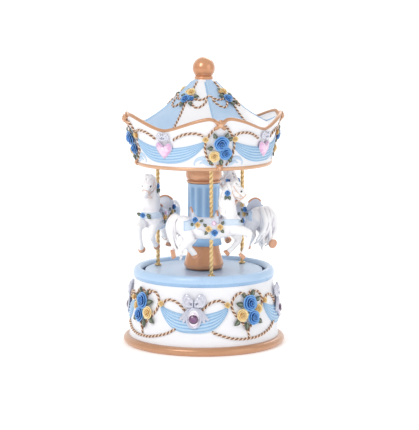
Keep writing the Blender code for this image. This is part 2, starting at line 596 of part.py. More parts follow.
def canopy_section(angle):
    """The canopy's closed section at an angle, from the bore down the roof and round to the inside."""
    radius, top = rim(angle)
    edge = radius - 1.9
    sag = 0.5 * abs(sin(radians(4 * (angle - FIRST_PEAK))))
    roof = [(r, z - sag * (r < 34) * (r > 8)) for r, z in ROOF[::-1]]
    gutter = [(40.0, 139.6 + 0.1 * (top - VALLEY_HEIGHT)), (0.5 * edge + 20.6, 0.6 * top + 55.2)]
    lip = [(edge, top - 0.2), (radius - 1.0, top + 0.7), (radius, top)]
    outside = [(valance_radius(angle, z), z) for z in (top - 6, 128, 121, 116)]
    bottom = [(BAND_RADIUS + 0.4, 114.8), (BAND_RADIUS, CANOPY_BOTTOM), (39.2, CANOPY_BOTTOM)]
    inside = [(39.2, 132.0), (37.0, 137.0), (26.0, 144.0), (13.0, 154.6), (6.0, 160.0), (1.8, 160.0)]
    return [(1.8, ROOF_TOP)] + roof + gutter + lip + outside + bottom + inside


def canopy():
    """The canopy is lofted from sections at even angles, closed into a ring."""
    bm = bmesh.new()
    rings = []
    for number in range(ROUND):
        angle = FIRST_PEAK + 360 / ROUND * number
        rings.append([bm.verts.new((*spot(angle, r), z)) for r, z in canopy_section(angle)])
    for one, two in zip(rings, rings[1:] + rings[:1]):
        for a, b in zip(range(len(one)), list(range(1, len(one))) + [0]):
            bm.faces.new((one[a], one[b], two[b], two[a]))
    add("canopy", mesh_from("canopy", bm), RESIN)
    ceiling = turned("canopy_ceiling", [(1.8, CEILING_TOP), (38.9, CEILING_TOP), (38.9, CEILING_BOTTOM),
                                        (1.8, CEILING_BOTTOM)], ROUND, RESIN)
    for angle in POLE_ANGLES:
        drill(ceiling, POLE_RADIUS + GAP, *spot(angle, POLE_CIRCLE), 113.0, 115.0, 10)


def finial():
    ball = [(FINIAL_RADIUS * sin(a), FINIAL_CENTRE + FINIAL_RADIUS * cos(a)) for a in
            [pi * n / 10 for n in range(9)]]
    neck = [(3.0, 167.2), (5.2, 166.9), (5.4, ROOF_TOP + GAP), (1.8, ROOF_TOP + GAP), (1.8, 171.0), (0, 171.0)]
    turned("finial", ball + neck, 18, GOLD_PAINT)


clear_scene()
base_housing()
bottom_cover()
turntable_bush()
base_decoration()
bedplate()
comb()
pinned_cylinder()
governor()
winding()
spring_barrel()
turntable()
column()
poles_and_horses()
canopy()
canopy_decoration()
finial()
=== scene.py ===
# %% [markdown]
# # A wind-up carousel music box
#
# The object is a painted cast-resin carousel about 18 cm tall. A round base hides an 18-note movement
# and its winding key. A turntable, a column, three horses on brass poles and a flared tent canopy turn
# above it. The working solids are already made and packed. This lesson makes the surfaces that are
# seen: roses, ropes, swags, gems, horses and paint.
#
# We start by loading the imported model. Everything later takes its place and its size from it.

# %% Load the frame
from math import atan2, cos, exp, hypot, pi, radians, sin, tau

import bmesh
import bpy
import numpy as np
from mathutils import Matrix, Vector
from mathutils.bvhtree import BVHTree


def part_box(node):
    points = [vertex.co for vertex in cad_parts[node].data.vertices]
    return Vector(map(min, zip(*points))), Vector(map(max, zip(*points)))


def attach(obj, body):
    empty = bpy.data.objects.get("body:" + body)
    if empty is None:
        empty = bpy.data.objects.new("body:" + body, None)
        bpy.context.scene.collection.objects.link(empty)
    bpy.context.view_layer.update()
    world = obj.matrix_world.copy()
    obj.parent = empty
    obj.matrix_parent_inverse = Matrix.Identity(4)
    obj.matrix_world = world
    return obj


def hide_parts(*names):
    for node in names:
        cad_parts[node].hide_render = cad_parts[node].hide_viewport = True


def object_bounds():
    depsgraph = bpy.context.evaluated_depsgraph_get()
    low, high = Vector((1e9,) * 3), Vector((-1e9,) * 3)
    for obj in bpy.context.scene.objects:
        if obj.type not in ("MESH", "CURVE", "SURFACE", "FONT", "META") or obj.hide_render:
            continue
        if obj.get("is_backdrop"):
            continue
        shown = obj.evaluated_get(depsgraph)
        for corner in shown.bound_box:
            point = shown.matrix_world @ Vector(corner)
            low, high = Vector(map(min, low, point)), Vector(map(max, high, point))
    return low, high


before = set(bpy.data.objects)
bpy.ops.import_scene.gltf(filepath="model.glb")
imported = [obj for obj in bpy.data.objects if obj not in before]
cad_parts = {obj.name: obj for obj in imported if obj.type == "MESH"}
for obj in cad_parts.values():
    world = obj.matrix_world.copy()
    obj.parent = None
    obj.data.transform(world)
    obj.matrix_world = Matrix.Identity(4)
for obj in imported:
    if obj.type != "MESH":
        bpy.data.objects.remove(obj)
cad_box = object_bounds()

# %% [markdown]
# ## Sizes that everything shares
#
# The frame is in metres, and a millimetre is the natural unit for something this small. So every
# helper works in millimetres and the mesh is scaled once, when it becomes an object. The driving sizes
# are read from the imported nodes' boxes, so the looks always fit the solids.

# %% Driving sizes, in millimetres
MM = 0.001


def box_mm(node):
    """A node's lowest and highest corners, in millimetres."""
    low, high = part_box(node)
    return low / MM, high / MM


housing_high = box_mm("base_housing")[1]
table_low, table_high = box_mm("turntable")
canopy_low, canopy_high = box_mm("canopy")
finial_low, finial_high = box_mm("finial")

FOOT_RADIUS = housing_high.x
FOOT_TOP = 5.2
DRUM_TOP = 41.6
RIM_CREST = housing_high.z
TABLE_TOP = table_high.z
TABLE_RADIUS = table_high.x
CANOPY_BOTTOM = canopy_low.z
ROOF_TOP = canopy_high.z
TOP = finial_high.z
GAP = 0.3

BAND_RADIUS = 42.3
FIRST_PEAK = 12.0
FIRST_BOW, FIRST_HEART = -8.0, 37.0
QUARTERS = (0, 90, 180, 270)
POLE_ANGLES = (8.6, 128.6, 248.6)
POLE_CIRCLE = 31.4
print(f"foot {2 * FOOT_RADIUS:.1f} mm across, {TOP:.1f} mm tall")

# %% [markdown]
# ## Surfaces as formulas
#
# Ropes, swags and roses all lie on three surfaces of the casting: the flared drum, the canopy's flared
# valance and the tent roof. Each surface gets one function that turns an angle and a height into a
# radius. The decoration can then be laid out flat, by angle and height, and wrapped on the casting,
# which is how a sculptor would lay soft wax on it. Angles are in degrees from the front, towards +X.


# %% The drum, the valance and the roof
def spot(angle, radius, height=0.0):
    """The point at an angle, a radius and a height."""
    return Vector((radius * sin(radians(angle)), -radius * cos(radians(angle)), height))


DRUM_NECK, DRUM_FLARE = 43.6, 3.4           # radius under the rim, and what the foot adds to it
FLARE_FROM, FLARE_HEIGHT = 41.0, 32.4       # the flare starts here and takes this much height
RIM_VALLEY, RIM_RISE = (45.3, 137.4), (4.2, 8.6)        # radius and height in a valley, and a peak's gain
KNOT_DIP, KNOT_SPREAD = 3.0, 4.5            # the rim is pinched down at a peak's knot
VALANCE_FOOT = 116.0
ROOF = ((5.0, 167.0), (7.0, 165.4), (13, 159.6), (20, 153.0), (26, 147.9), (30, 145.1), (35, 142.0),
        (40, 139.5))
ROOF_FOOT, ROOF_FOOT_HEIGHT = ROOF[-1]
PANEL_SAG, GUTTER_DIP, RIM_INSET = 0.55, 5.0, 1.0


def drum_radius(height):
    share = (FLARE_FROM - height) / FLARE_HEIGHT
    return DRUM_NECK + DRUM_FLARE * share ** 0.8 if share > 0 else DRUM_NECK


def from_peak(angle):
    """Degrees from the nearest of the canopy's four peaks, from -45 to 45."""
    return (angle - FIRST_PEAK + 45) % 90 - 45


def rim(angle):
    """The radius and height of the valance's wavy rim."""
    share = (1 + cos(radians(4 * from_peak(angle)))) / 2
    knot = KNOT_DIP * exp(-(from_peak(angle) / KNOT_SPREAD) ** 2)
    return RIM_VALLEY[0] + RIM_RISE[0] * share, RIM_VALLEY[1] + RIM_RISE[1] * share ** 0.8 - knot


def valance_radius(angle, height):
    radius, top = rim(angle)
    share = min(1.0, max(0.0, (height - VALANCE_FOOT) / (top - VALANCE_FOOT)))
    return BAND_RADIUS + (radius - BAND_RADIUS) * share ** 1.6


def roof_height(angle, radius):
    """The tent's height: a concave cone with a sag in each panel, a gutter down each valley and a foot
    that runs up to the wavy rim."""
    edge, top = rim(angle)
    inner = min(radius, ROOF_FOOT)
    height = float(np.interp(inner, [r for r, z in ROOF], [z for r, z in ROOF]))
    panel = (from_peak(angle) % 45) / 45
    sag = PANEL_SAG * sin(pi * panel) * min(1.0, max(0.0, (radius - 6) / 12))
    height -= sag * min(1.0, (46 - radius) / 12)
    valley = (1 - cos(radians(4 * from_peak(angle)))) / 2
    dip = GUTTER_DIP * valley * min(1.0, max(0.0, (inner - 21) / 13))
    height -= dip
    if radius > ROOF_FOOT:
        share = (radius - ROOF_FOOT) / (edge - RIM_INSET - ROOF_FOOT)
        height += (top - 0.2 - ROOF_FOOT_HEIGHT + dip) * share ** 1.3
    return height


def on_drum(angle, height, lift=0.0):
    return spot(angle, drum_radius(height) + lift, height)


def on_valance(angle, height, lift=0.0):
    return spot(angle, valance_radius(angle, height) + lift, height)


def on_roof(angle, radius, lift=0.0):
    return spot(angle, radius, roof_height(angle, radius) + lift)


def facing(surface, angle, height, lift=0.0):
    """A frame on a surface: right, up and outward axes, and the point itself, as one matrix."""
    point = surface(angle, height, lift)
    right = (surface(angle + 0.5, height, lift) - point).normalized()
    up = (surface(angle, height + 0.3, lift) - point).normalized()
    out = right.cross(up).normalized()
    if out.dot(Vector((point.x, point.y, 20.0))) < 0:
        out, right = -out, -right
    up = out.cross(right)
    return Matrix.Translation(point) @ Matrix((right, up, out)).transposed().to_4x4()


print(f"rim from {min(rim(a)[1] for a in range(90)):.1f} to {max(rim(a)[1] for a in range(90)):.1f} mm")

# %% [markdown]
# ## Turning lists of points into pieces
#
# A piece is one object with one finish that rides on one body of the frame. The helpers below take
# plain Python lists in millimetres, because lists are easy to build in loops, and hand Blender a
# finished mesh once. `Clay` collects many small shapes, such as petals, before they become one piece.


# %% Mesh helpers
class Clay:
    """A growing mesh in millimetres: points, faces, and a tint for each point, 0 for painted shade in
    recesses, 1 for a painted highlight on edges.
    """

    def __init__(self):
        self.points, self.faces, self.tints = [], [], []

    def grid(self, rows, tints=None, round_rows=False, round_columns=False, caps=False):
        """Join rows of points into a sheet; round ones close on themselves, and caps fill the ends."""
        start, width, count = len(self.points), len(rows[0]), len(rows)
        for number, row in enumerate(rows):
            self.points += [tuple(p) for p in row]
            self.tints += list(tints[number]) if tints is not None else [0.5] * width
        for i in range(count if round_rows else count - 1):
            for j in range(width if round_columns else width - 1):
                a, b = start + i * width, start + (i + 1) % count * width
                k = (j + 1) % width
                self.faces.append((a + j, a + k, b + k, b + j))
        if caps:
            self.faces.append(tuple(range(start + width - 1, start - 1, -1)))
            last = start + (count - 1) * width
            self.faces.append(tuple(range(last, last + width)))

    def add(self, other, matrix):
        """Put a copy of another lump of clay in, moved by a matrix."""
        start = len(self.points)
        place = np.array(matrix)
        points = np.array([tuple(p) for p in other.points]) @ place[:3, :3].T + place[:3, 3]
        self.points += [tuple(p) for p in points.tolist()]
        self.faces += [tuple(v + start for v in face) for face in other.faces]
        self.tints += other.tints

    def mesh(self, name, sharp=40):
        mesh = bpy.data.meshes.new(name)
        mesh.from_pydata([tuple(c * MM for c in p) for p in self.points], [], self.faces)
        tint = mesh.attributes.new("tint", "FLOAT", "POINT")
        tint.data.foreach_set("value", self.tints)
        bm = bmesh.new()
        bm.from_mesh(mesh)
        bmesh.ops.recalc_face_normals(bm, faces=bm.faces)
        bm.to_mesh(mesh)
        bm.free()
        mesh.shade_smooth()
        mesh.set_sharp_from_angle(angle=radians(sharp))
        return mesh


def piece(name, mesh, paint, body, slot, replaces=(), matrix=None):
    """A finished piece: named, painted, riding on its body, and standing for CAD nodes if it does."""
    obj = bpy.data.objects.new(name, mesh)
    bpy.context.scene.collection.objects.link(obj)
    if matrix is not None:
        obj.matrix_world = matrix
    mesh.materials.clear()
    mesh.materials.append(paint)
    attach(obj, body)
    if replaces:
        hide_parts(*replaces)
    return obj


def modified(mesh, *steps):
    """Run modifiers over a mesh and give back the result; each step is a kind and its settings."""
    obj = bpy.data.objects.new("work", mesh)
    bpy.context.scene.collection.objects.link(obj)
    for kind, settings in steps:
        step = obj.modifiers.new(kind, kind)
        for key, value in settings.items():
            setattr(step, key, value)
    bpy.context.view_layer.update()
    graph = bpy.context.evaluated_depsgraph_get()
    result = bpy.data.meshes.new_from_object(obj.evaluated_get(graph))
    bpy.data.objects.remove(obj)
    return result


def turned(section, steps=144, tint=lambda r, z: 0.5):
    """A ring or a solid of revolution from a closed section of (radius, height)."""
    clay = Clay()
    solid = section[0][0] == 0 and section[-1][0] == 0
    ring = section[1:-1] if solid else section
    rows = [[spot(360 * n / steps, r, z) for r, z in ring] for n in range(steps)]
    tints = [[tint(r, z) for r, z in ring]] * steps
    clay.grid(rows, tints, round_rows=True, round_columns=not solid)
    if solid:
        for (r, z), j in ((section[0], 0), (section[-1], len(ring) - 1)):
            clay.points.append((0, 0, z))
            clay.tints.append(tint(r, z))
            middle = len(clay.points) - 1
            width = len(ring)
            clay.faces += [(middle, n * width + j, (n + 1) % steps * width + j) for n in range(steps)]
    return clay


def rounded(corners, radius=0.5, steps=4):
    """A section with its corners rounded off by short arcs, drawn as quadratic curves."""
    points = []
    for before, corner, after in zip(corners[-1:] + corners[:-1], corners, corners[1:] + corners[:1]):
        here = Vector(corner)
        back, ahead = Vector(before) - here, Vector(after) - here
        cut = min(radius, back.length * 0.45, ahead.length * 0.45)
        start, end = here + back.normalized() * cut, here + ahead.normalized() * cut
        for n in range(steps + 1):
            t = n / steps
            points.append(tuple(start * (1 - t) ** 2 + here * (2 * t * (1 - t)) + end * t ** 2))
    return points


def smooth_path(points, step=0.4, closed=False):
    """A smooth curve through a few points, as many points at an even spacing."""
    points = list(points)
    ends = [points[-1]] + points + points[:2] if closed else [points[0]] + points + [points[-1]]
    fine = []
    for a, b, c, d in zip(ends, ends[1:], ends[2:], ends[3:]):
        a, b, c, d = Vector(a), Vector(b), Vector(c), Vector(d)
        for n in range(16):
            t = n / 16
            fine.append(0.5 * (2 * b + (c - a) * t + (2 * a - 5 * b + 4 * c - d) * t * t
                               + (3 * b - 3 * c + d - a) * t ** 3))
    fine.append(Vector(points[0] if closed else points[-1]))
    lengths = np.concatenate([[0], np.cumsum([(q - p).length for p, q in zip(fine, fine[1:])])])
    count = max(3, int(lengths[-1] / step))
    wanted = np.linspace(0, lengths[-1], count + 1)
    spread = np.array([tuple(p) for p in fine])
    made = np.stack([np.interp(wanted, lengths, spread[:, k]) for k in range(3)], axis=1)
    return [Vector(p) for p in (made[:-1] if closed else made)]


def tube(clay, path, radius, sides=8, closed=False, tint=0.5, flatten=1.0, out=None):
    """A round or flattened tube along a path; radius may be a function of the share of its length."""
    width = radius if callable(radius) else (lambda share: radius)
    rows = []
    count = len(path)
    for n, here in enumerate(path):
        ahead = path[(n + 1) % count] if closed or n < count - 1 else here
        behind = path[n - 1] if closed or n > 0 else here
        along = (ahead - behind).normalized()
        away = out(here) if out else Vector((here.x, here.y, 0))
        side = along.cross(away)
        side = side.normalized() if side.length > 1e-6 else along.orthogonal().normalized()
        top = side.cross(along)
        r = width(n / max(1, count - 1))
        rows.append([here + side * (r * cos(tau * k / sides)) + top * (r * flatten * sin(tau * k / sides))
                     for k in range(sides)])
    clay.grid(rows, [[tint] * sides] * count, round_rows=closed, round_columns=True, caps=not closed)


def rope(clay, path, radius=0.62, pitch=2.3, closed=False, sides=6):
    """A light and a dark strand twisted round a path, which looks beaded: the light strand is a painted
    highlight on every other bead, and each strand is painted darker underneath, as painted shade.
    """
    lengths = np.concatenate([[0], np.cumsum([(q - p).length for p, q in zip(path, path[1:])])])
    count = len(path)
    turns = max(1, round(lengths[-1] / pitch))
    for strand, tint in ((0, 0.98), (pi, 0.36)):
        winding, shades = [], []
        for n, here in enumerate(path):
            ahead = path[(n + 1) % count] if closed or n < count - 1 else here
            behind = path[n - 1] if closed or n > 0 else here
            along = (ahead - behind).normalized()
            side = along.cross(Vector((here.x, here.y, 8.0))).normalized()
            top = side.cross(along)
            share = n / count if closed else n / max(1, count - 1)
            angle = strand + tau * turns * share
            winding.append(here + (side * cos(angle) + top * sin(angle)) * radius * 0.52)
            # Painted shade: each strand darkens where it winds under the other.
            shades.append([tint - 0.15 + 0.15 * sin(angle)] * sides)
        tube(clay, winding, radius * 0.56, sides, closed)
        clay.tints[-len(winding) * sides:] = [shade for row in shades for shade in row]


print("mesh helpers ready")

# %% [markdown]
# ## Paint
#
# The resin is painted by hand, and no surface has one flat colour. Light and shade are painted in
# too: painted shade turns the white faint grey in its hollows, a painted highlight makes the
# copper-gold lighter on high edges, and the roses go from deep blue in the shaded folds to pale blue
# at the lit petal tips. Noise could do part of this. A `tint` number stored on every point while the
# shape is made does it better, because the code that makes a petal knows where its edge is. Shader
# sums are written as ordinary expressions through the small class below.


# %% Shader expressions
class Value:
    """A number that varies over a surface; arithmetic on it adds Math nodes to its paint."""

    def __init__(self, paint, socket):
        self.paint, self.socket = paint, socket

    def math(self, operation, first, second):
        return self.paint.node("ShaderNodeMath", {"operation": operation}, {0: first, 1: second})

    def __add__(self, other):
        return self.math("ADD", self, other)

    def __sub__(self, other):
        return self.math("SUBTRACT", self, other)

    def __rsub__(self, other):
        return self.math("SUBTRACT", other, self)

    def __mul__(self, other):
        return self.math("MULTIPLY", self, other)

    def __pow__(self, other):
        return self.math("POWER", self, other)

    __radd__, __rmul__ = __add__, __mul__


class Paint:
    """A Principled material whose sockets take numbers, colours or Values."""

    def __init__(self, name, **sockets):
        self.material = bpy.data.materials.new(name)
        self.material.use_nodes = True
        self.tree = self.material.node_tree
        self.shader = self.tree.nodes["Principled BSDF"]
        self.set(**sockets)

    def feed(self, socket, value):
        if isinstance(value, Value):
            self.tree.links.new(value.socket, socket)
        else:
            socket.default_value = value

    def set(self, **sockets):
        for name, value in sockets.items():
            self.feed(self.shader.inputs[name.replace("_", " ")], value)
        return self

    def node(self, kind, settings, inputs, output=0):
        """Any node: its settings are made first, then its sockets are fed; gives one output."""
        node = self.tree.nodes.new(kind)
        for key, value in settings.items():
            if key == "stops":
                while len(node.color_ramp.elements) < len(value):
                    node.color_ramp.elements.new(0.5)
                for stop, (place, colour) in zip(node.color_ramp.elements, value):
                    stop.position, stop.color = place, colour
            else:
                setattr(node, key, value)
        for key, value in inputs.items():
            self.feed(node.inputs[key], value)
        return Value(self, node.outputs[output])

    def noise(self, scale, detail=3.0, roughness=0.55):
        where = self.node("ShaderNodeTexCoord", {}, {}, "Object")
        sockets = {"Vector": where, "Scale": scale, "Detail": detail, "Roughness": roughness}
        return self.node("ShaderNodeTexNoise", {}, sockets)

    def tint(self):
        """The number that the modelling code stored on each point: 0 for painted shade in a recess, 1 for a
        painted highlight on an edge.
        """
        return self.node("ShaderNodeAttribute", {"attribute_name": "tint"}, {}, "Fac")

    def ramp(self, factor, *stops):
        return self.node("ShaderNodeValToRGB", {"stops": stops}, {"Fac": factor})

    def mix(self, factor, first, second):
        sockets = {0: factor, 6: first, 7: second}
        return self.node("ShaderNodeMix", {"data_type": "RGBA"}, sockets, 2)

    def bump(self, height, depth_mm, strength=1.0):
        sockets = {"Height": height, "Distance": depth_mm * MM, "Strength": strength}
        return self.node("ShaderNodeBump", {}, sockets)


def srgb(red, green, blue):
    """A colour picked on a screen, 0 to 255, as the linear numbers that a shader wants."""
    return tuple((c / 255 / 12.92 if c < 10.3 else ((c / 255 + 0.055) / 1.055) ** 2.4)
                 for c in (red, green, blue)) + (1.0,)


# %% [markdown]
# ### The finishes
#
# One function makes the brushed acrylic that covers almost everything. It takes a recess colour, a
# body colour and an edge colour and runs them along the tint: the recess colour is painted shade and
# the edge colour a painted highlight. Two scales of noise break them up: a broad one, as where the
# brush carried more paint, and a fine one, as of the resin's skin. Metallic paint is the same with a
# little metal in it. Stones are smooth and clear-coated, and painted reflections give each facet its
# own shade.


# %% Paint recipes
def brushed(name, recess, body, edge, rough=0.42, metallic=0.0, grain=0.05, coat=0.12, patchy=0.12):
    """Hand-brushed paint: three colours along the tint, from painted shade through the body colour to a
    painted highlight, patchy at two scales, with a faint skin.
    """
    recess, body, edge = srgb(*recess), srgb(*body), srgb(*edge)
    paint = Paint(name, Metallic=metallic, Coat_Roughness=0.25, Coat_Weight=coat)
    broad = paint.noise(130.0, 3.0)
    fine = paint.noise(1500.0, 4.0, 0.6)
    where = paint.tint() + (broad - 0.5) * patchy * 2 + (fine - 0.5) * patchy
    colour = paint.ramp(where, (0.12, recess), (0.5, body), (0.92, edge))
    paint.set(Base_Color=colour, Roughness=rough + (fine + broad - 1.0) * patchy * 1.2)
    paint.set(Normal=paint.bump(broad * 0.6 + fine * 0.4, grain))
    return paint.material


def metal(name, dark, light, rough=0.3, grain=0.02, scale=900.0):
    """Bare metal with faint tarnish and handling marks; where the tint is high it is lighter, as a
    painted highlight, and where it is low darker, as painted shade.
    """
    dark, light = srgb(*dark), srgb(*light)
    paint = Paint(name, Metallic=1.0)
    cloud, scratch = paint.noise(160.0, 4.0), paint.noise(scale, 5.0, 0.7)
    colour = paint.mix(cloud * 0.7 + paint.tint() * 0.5, dark, light)
    paint.set(Base_Color=colour, Roughness=rough + (scratch - 0.5) * 0.2 + (cloud - 0.5) * 0.15)
    paint.set(Normal=paint.bump(scratch, grain))
    return paint.material


def stone(name, deep, body, glint, rough=0.06):
    """A faceted acrylic stone: its colour shifts from facet to facet as painted reflections, from a deep
    colour to a painted glint, under a clear gloss.
    """
    deep, body, glint = srgb(*deep), srgb(*body), srgb(*glint)
    paint = Paint(name, Coat_Weight=1.0, Coat_Roughness=0.02, IOR=1.55, Specular_IOR_Level=0.7)
    cell = paint.noise(420.0, 1.0)
    where = paint.tint() + (cell - 0.5) * 0.5
    paint.set(Base_Color=paint.ramp(where, (0.1, deep), (0.5, body), (0.95, glint)), Roughness=rough)
    return paint.material


# Each finish runs from a painted shade colour through its body colour to a painted highlight colour; a
# stone's last colour is a painted glint.
WHITE_PAINT = brushed("white_resin_paint", (214, 215, 227), (246, 246, 250), (253, 253, 254), 0.38,
                      coat=0.2, patchy=0.05, grain=0.03)
BLUE_PAINT = brushed("light_blue_paint", (140, 178, 218), (178, 207, 238), (206, 226, 246), 0.4)
RIM_PAINT = brushed("rim_blue_paint", (134, 174, 216), (160, 197, 233), (190, 217, 245), 0.3, coat=0.45)
SWAG_PAINT = brushed("swag_blue_paint", (138, 178, 216), (170, 206, 236), (202, 226, 246), 0.4)
PALE_BLUE = brushed("pale_ribbon_paint", (160, 192, 224), (196, 218, 240), (226, 238, 250), 0.4)
TABLE_PAINT = brushed("turntable_blue_paint", (160, 190, 222), (180, 207, 236), (202, 223, 245), 0.36,
                      coat=0.2, grain=0.012, patchy=0.05)
SHAFT_PAINT = brushed("column_blue_paint", (118, 158, 200), (160, 200, 238), (192, 222, 250), 0.36,
                      grain=0.02, patchy=0.05)
# Painted shade: a dark navy for a ring in the well, where the gap round the turntable lies in shadow.
WELL_SHADE_PAINT = brushed("well_painted_shade", (34, 44, 64), (62, 76, 104), (96, 112, 142), 0.6, coat=0.0)
GOLD_PAINT = brushed("copper_gold_paint", (138, 92, 64), (196, 143, 106), (232, 184, 148), 0.3,
                     metallic=0.25, coat=0.4, patchy=0.06, grain=0.01)
POLISHED_GOLD = brushed("polished_copper_paint", (156, 98, 62), (216, 150, 106), (240, 186, 146), 0.26,
                        metallic=0.3, coat=0.8, patchy=0.02, grain=0.002)
ROPE_PAINT = brushed("rope_gold_paint", (96, 60, 40), (178, 128, 94), (248, 222, 198), 0.4, metallic=0.3)
PALE_GOLD = brushed("pale_gold_paint", (212, 170, 150), (232, 198, 178), (246, 224, 210), 0.38,
                    metallic=0.1)
ROSE_BLUE = brushed("rose_blue_paint", (14, 54, 128), (48, 118, 204), (126, 184, 240), 0.4)
ROSE_YELLOW = brushed("rose_yellow_paint", (204, 146, 62), (244, 204, 124), (254, 236, 186), 0.45)
LEAF_PAINT = brushed("leaf_green_paint", (48, 58, 48), (98, 108, 92), (156, 164, 142), 0.5)
SILVER_PAINT = brushed("silver_pearl_paint", (84, 88, 118), (186, 188, 210), (252, 252, 254), 0.24,
                       metallic=0.3, coat=0.3, patchy=0.05, grain=0.015)
HOOF_PAINT = brushed("hoof_copper_paint", (150, 96, 66), (214, 158, 126), (240, 200, 172), 0.4,
                     metallic=0.3)
HORSE_PAINT = brushed("horse_white_paint", (206, 203, 212), (245, 243, 247), (253, 252, 253), 0.36,
                      coat=0.25, patchy=0.05, grain=0.02)
SADDLE_PAINT = brushed("saddle_grey_blue_paint", (176, 184, 206), (214, 221, 236), (238, 242, 250), 0.36)
PEARL_PAINT = brushed("blanket_pearl_paint", (176, 178, 198), (222, 222, 234), (244, 244, 250), 0.3,
                      metallic=0.1, coat=0.25, grain=0.12)
PINK_STONE = stone("pink_heart_stone", (196, 112, 176), (234, 180, 222), (255, 230, 248))
VIOLET_STONE = stone("violet_stone", (34, 12, 38), (74, 34, 74), (128, 78, 128))
PALE_STONE = stone("pale_stone", (214, 170, 206), (240, 218, 238), (255, 248, 255))
EYE_PAINT = stone("eye_black", (6, 6, 8), (14, 13, 16), (40, 40, 48))
BRASS = metal("pole_brass", (196, 152, 96), (246, 216, 160), 0.3)
MOVEMENT_BRASS = metal("movement_brass", (170, 130, 66), (220, 186, 112), 0.3)
STEEL = metal("ground_steel", (120, 122, 126), (176, 178, 182), 0.32)
BLACK_PLASTIC = brushed("black_cover_plastic", (14, 14, 16), (24, 24, 27), (40, 40, 44), 0.5, grain=0.06,
                        coat=0.0)
print(f"{len(bpy.data.materials)} materials")

# %% [markdown]
# ## The base casting
#
# The base is one hollow resin casting in three paints: a white drum that flares gently to the foot, a
# fat copper-gold foot ring and a light blue rim round the well of the turntable. Each paint is made
# here as its own closed ring with the real section, rounded where the casting is rounded. A turned
# section is the right tool, because the mould was turned. The rings meet along the painted lines. A thin
# navy ring of painted shade lines the well, so that the gap round the turntable stays dark.

# %% Drum, foot ring and rim
CAVITY_RADIUS, RECESS_RADIUS, LEDGE = 39.0, 43.0, 12.8
WELL_FLOOR, WELL_UNDERSIDE, WELL_RADIUS, SHAFT_HOLE = 40.5, 37.5, 38.7, 6.0

drum_side = [(drum_radius(z), z) for z in np.linspace(DRUM_TOP + 0.1, FOOT_TOP - 0.4, 14)]
drum_section = drum_side + [(RECESS_RADIUS, FOOT_TOP - 0.4), (RECESS_RADIUS, LEDGE),
                            (CAVITY_RADIUS, LEDGE), (CAVITY_RADIUS, WELL_UNDERSIDE),
                            (SHAFT_HOLE, WELL_UNDERSIDE), (SHAFT_HOLE, WELL_FLOOR), (40.5, WELL_FLOOR)]
piece("drum_white", turned(drum_section, tint=lambda r, z: 0.5).mesh("drum_white"), WHITE_PAINT, "base",
      "white_resin", ["base_housing"])

foot_section = [(46.6, FOOT_TOP), (47.6, FOOT_TOP + 0.05)]
foot_round = FOOT_TOP / 2
foot_section += [(FOOT_RADIUS - 3.1 + 3.1 * sin(a), foot_round * (1 + cos(a)) + 0.03) for a in
                 np.linspace(0.2, 2.5, 20)]
foot_section += [(49.4, 0.3), (48.9, 0.0), (43.5, 0.0), (RECESS_RADIUS, 0.5), (RECESS_RADIUS, FOOT_TOP)]
# Painted highlight: the foot ring's outer bulge, beyond 49 mm, is painted lighter.
piece("foot_ring", turned(foot_section, tint=lambda r, z: 0.42 + 0.15 * (r > 49)).mesh("foot_ring"),
      GOLD_PAINT, "base", "gold_paint")

RIM_ROUND, RIM_HALF = 4.0, 2.9
rim_middle = (WELL_RADIUS + RIM_HALF, RIM_CREST - RIM_ROUND)
rim_section = [(rim_middle[0] + RIM_HALF * sin(a), rim_middle[1] + RIM_ROUND * cos(a)) for a in
               np.linspace(-1.35, 2.7, 32)]
rim_section += [(40.0, 41.2), (40.0, WELL_FLOOR), (WELL_RADIUS, WELL_FLOOR), (WELL_RADIUS, 44.0)]
# Painted light: the rim's upper half, above 44 mm, is painted lighter, and its lower half darker, as painted
# shade.
piece("rim_blue", turned(rim_section, tint=lambda r, z: 0.42 + 0.4 * (z > 44)).mesh("rim_blue"),
      RIM_PAINT, "base", "blue_paint")

# A ring of painted shade in the well, where the gap round the turntable lies in shadow.
well_section = [(WELL_RADIUS - 0.3, 45.6), (WELL_RADIUS + 0.1, 45.9),
                (WELL_RADIUS + 0.1, WELL_FLOOR + 0.05), (37.5, WELL_FLOOR + 0.05),
                (37.5, WELL_FLOOR + 0.25), (WELL_RADIUS - 0.3, WELL_FLOOR + 0.3)]
piece("well_shade_ring", turned(well_section, tint=lambda r, z: 0.4).mesh("well_shade_ring"), WELL_SHADE_PAINT, "base",
      "dark_plastic")

# %% [markdown]
# ## The turntable
#
# A thin painted disc that turns in the well with a dark gap all round. Its edge is softly rounded, and
# a painted highlight lightens the paint near it. It keeps the solid's hub below, which is out of sight.

# %% Turntable disc
table_section = rounded([(1.9, TABLE_TOP), (TABLE_RADIUS, TABLE_TOP), (TABLE_RADIUS, table_low.z + 5.2),
                         (4.0, table_low.z + 5.2), (4.0, table_low.z), (2.3, table_low.z), (2.3, 42.5),
                         (1.9, 42.6)], 0.7)
piece("turntable_disc",
      turned(table_section, tint=lambda r, z: 0.5 + 0.25 * (r > 36)).mesh("turntable_disc"), TABLE_PAINT,
      "carousel", "turntable_blue", ["turntable"])

# %% [markdown]
# ## The column
#
# Three castings are threaded on the tie rod: a copper-gold urn, a light blue fluted shaft that starts
# in a flared skirt, and a copper-gold capital with rings. The urn and the capital are turned shapes.
# The shaft is a turned shape too, but its radius also varies with the angle: twelve hollow flutes with
# narrow fillets between them. A rounded hollow, not a cosine, keeps the fillets crisp.

# %% Urn, fluted shaft and capital
BORE = 1.8
FLUTES = 12


def curved(points, count=40):
    """A section as a smooth curve through a few (radius, height) points."""
    path = smooth_path([Vector((r, 0, z)) for r, z in points], 0.3)
    wanted = np.linspace(0, len(path) - 1, min(count, len(path))).astype(int)
    return [(path[n].x, path[n].z) for n in wanted]


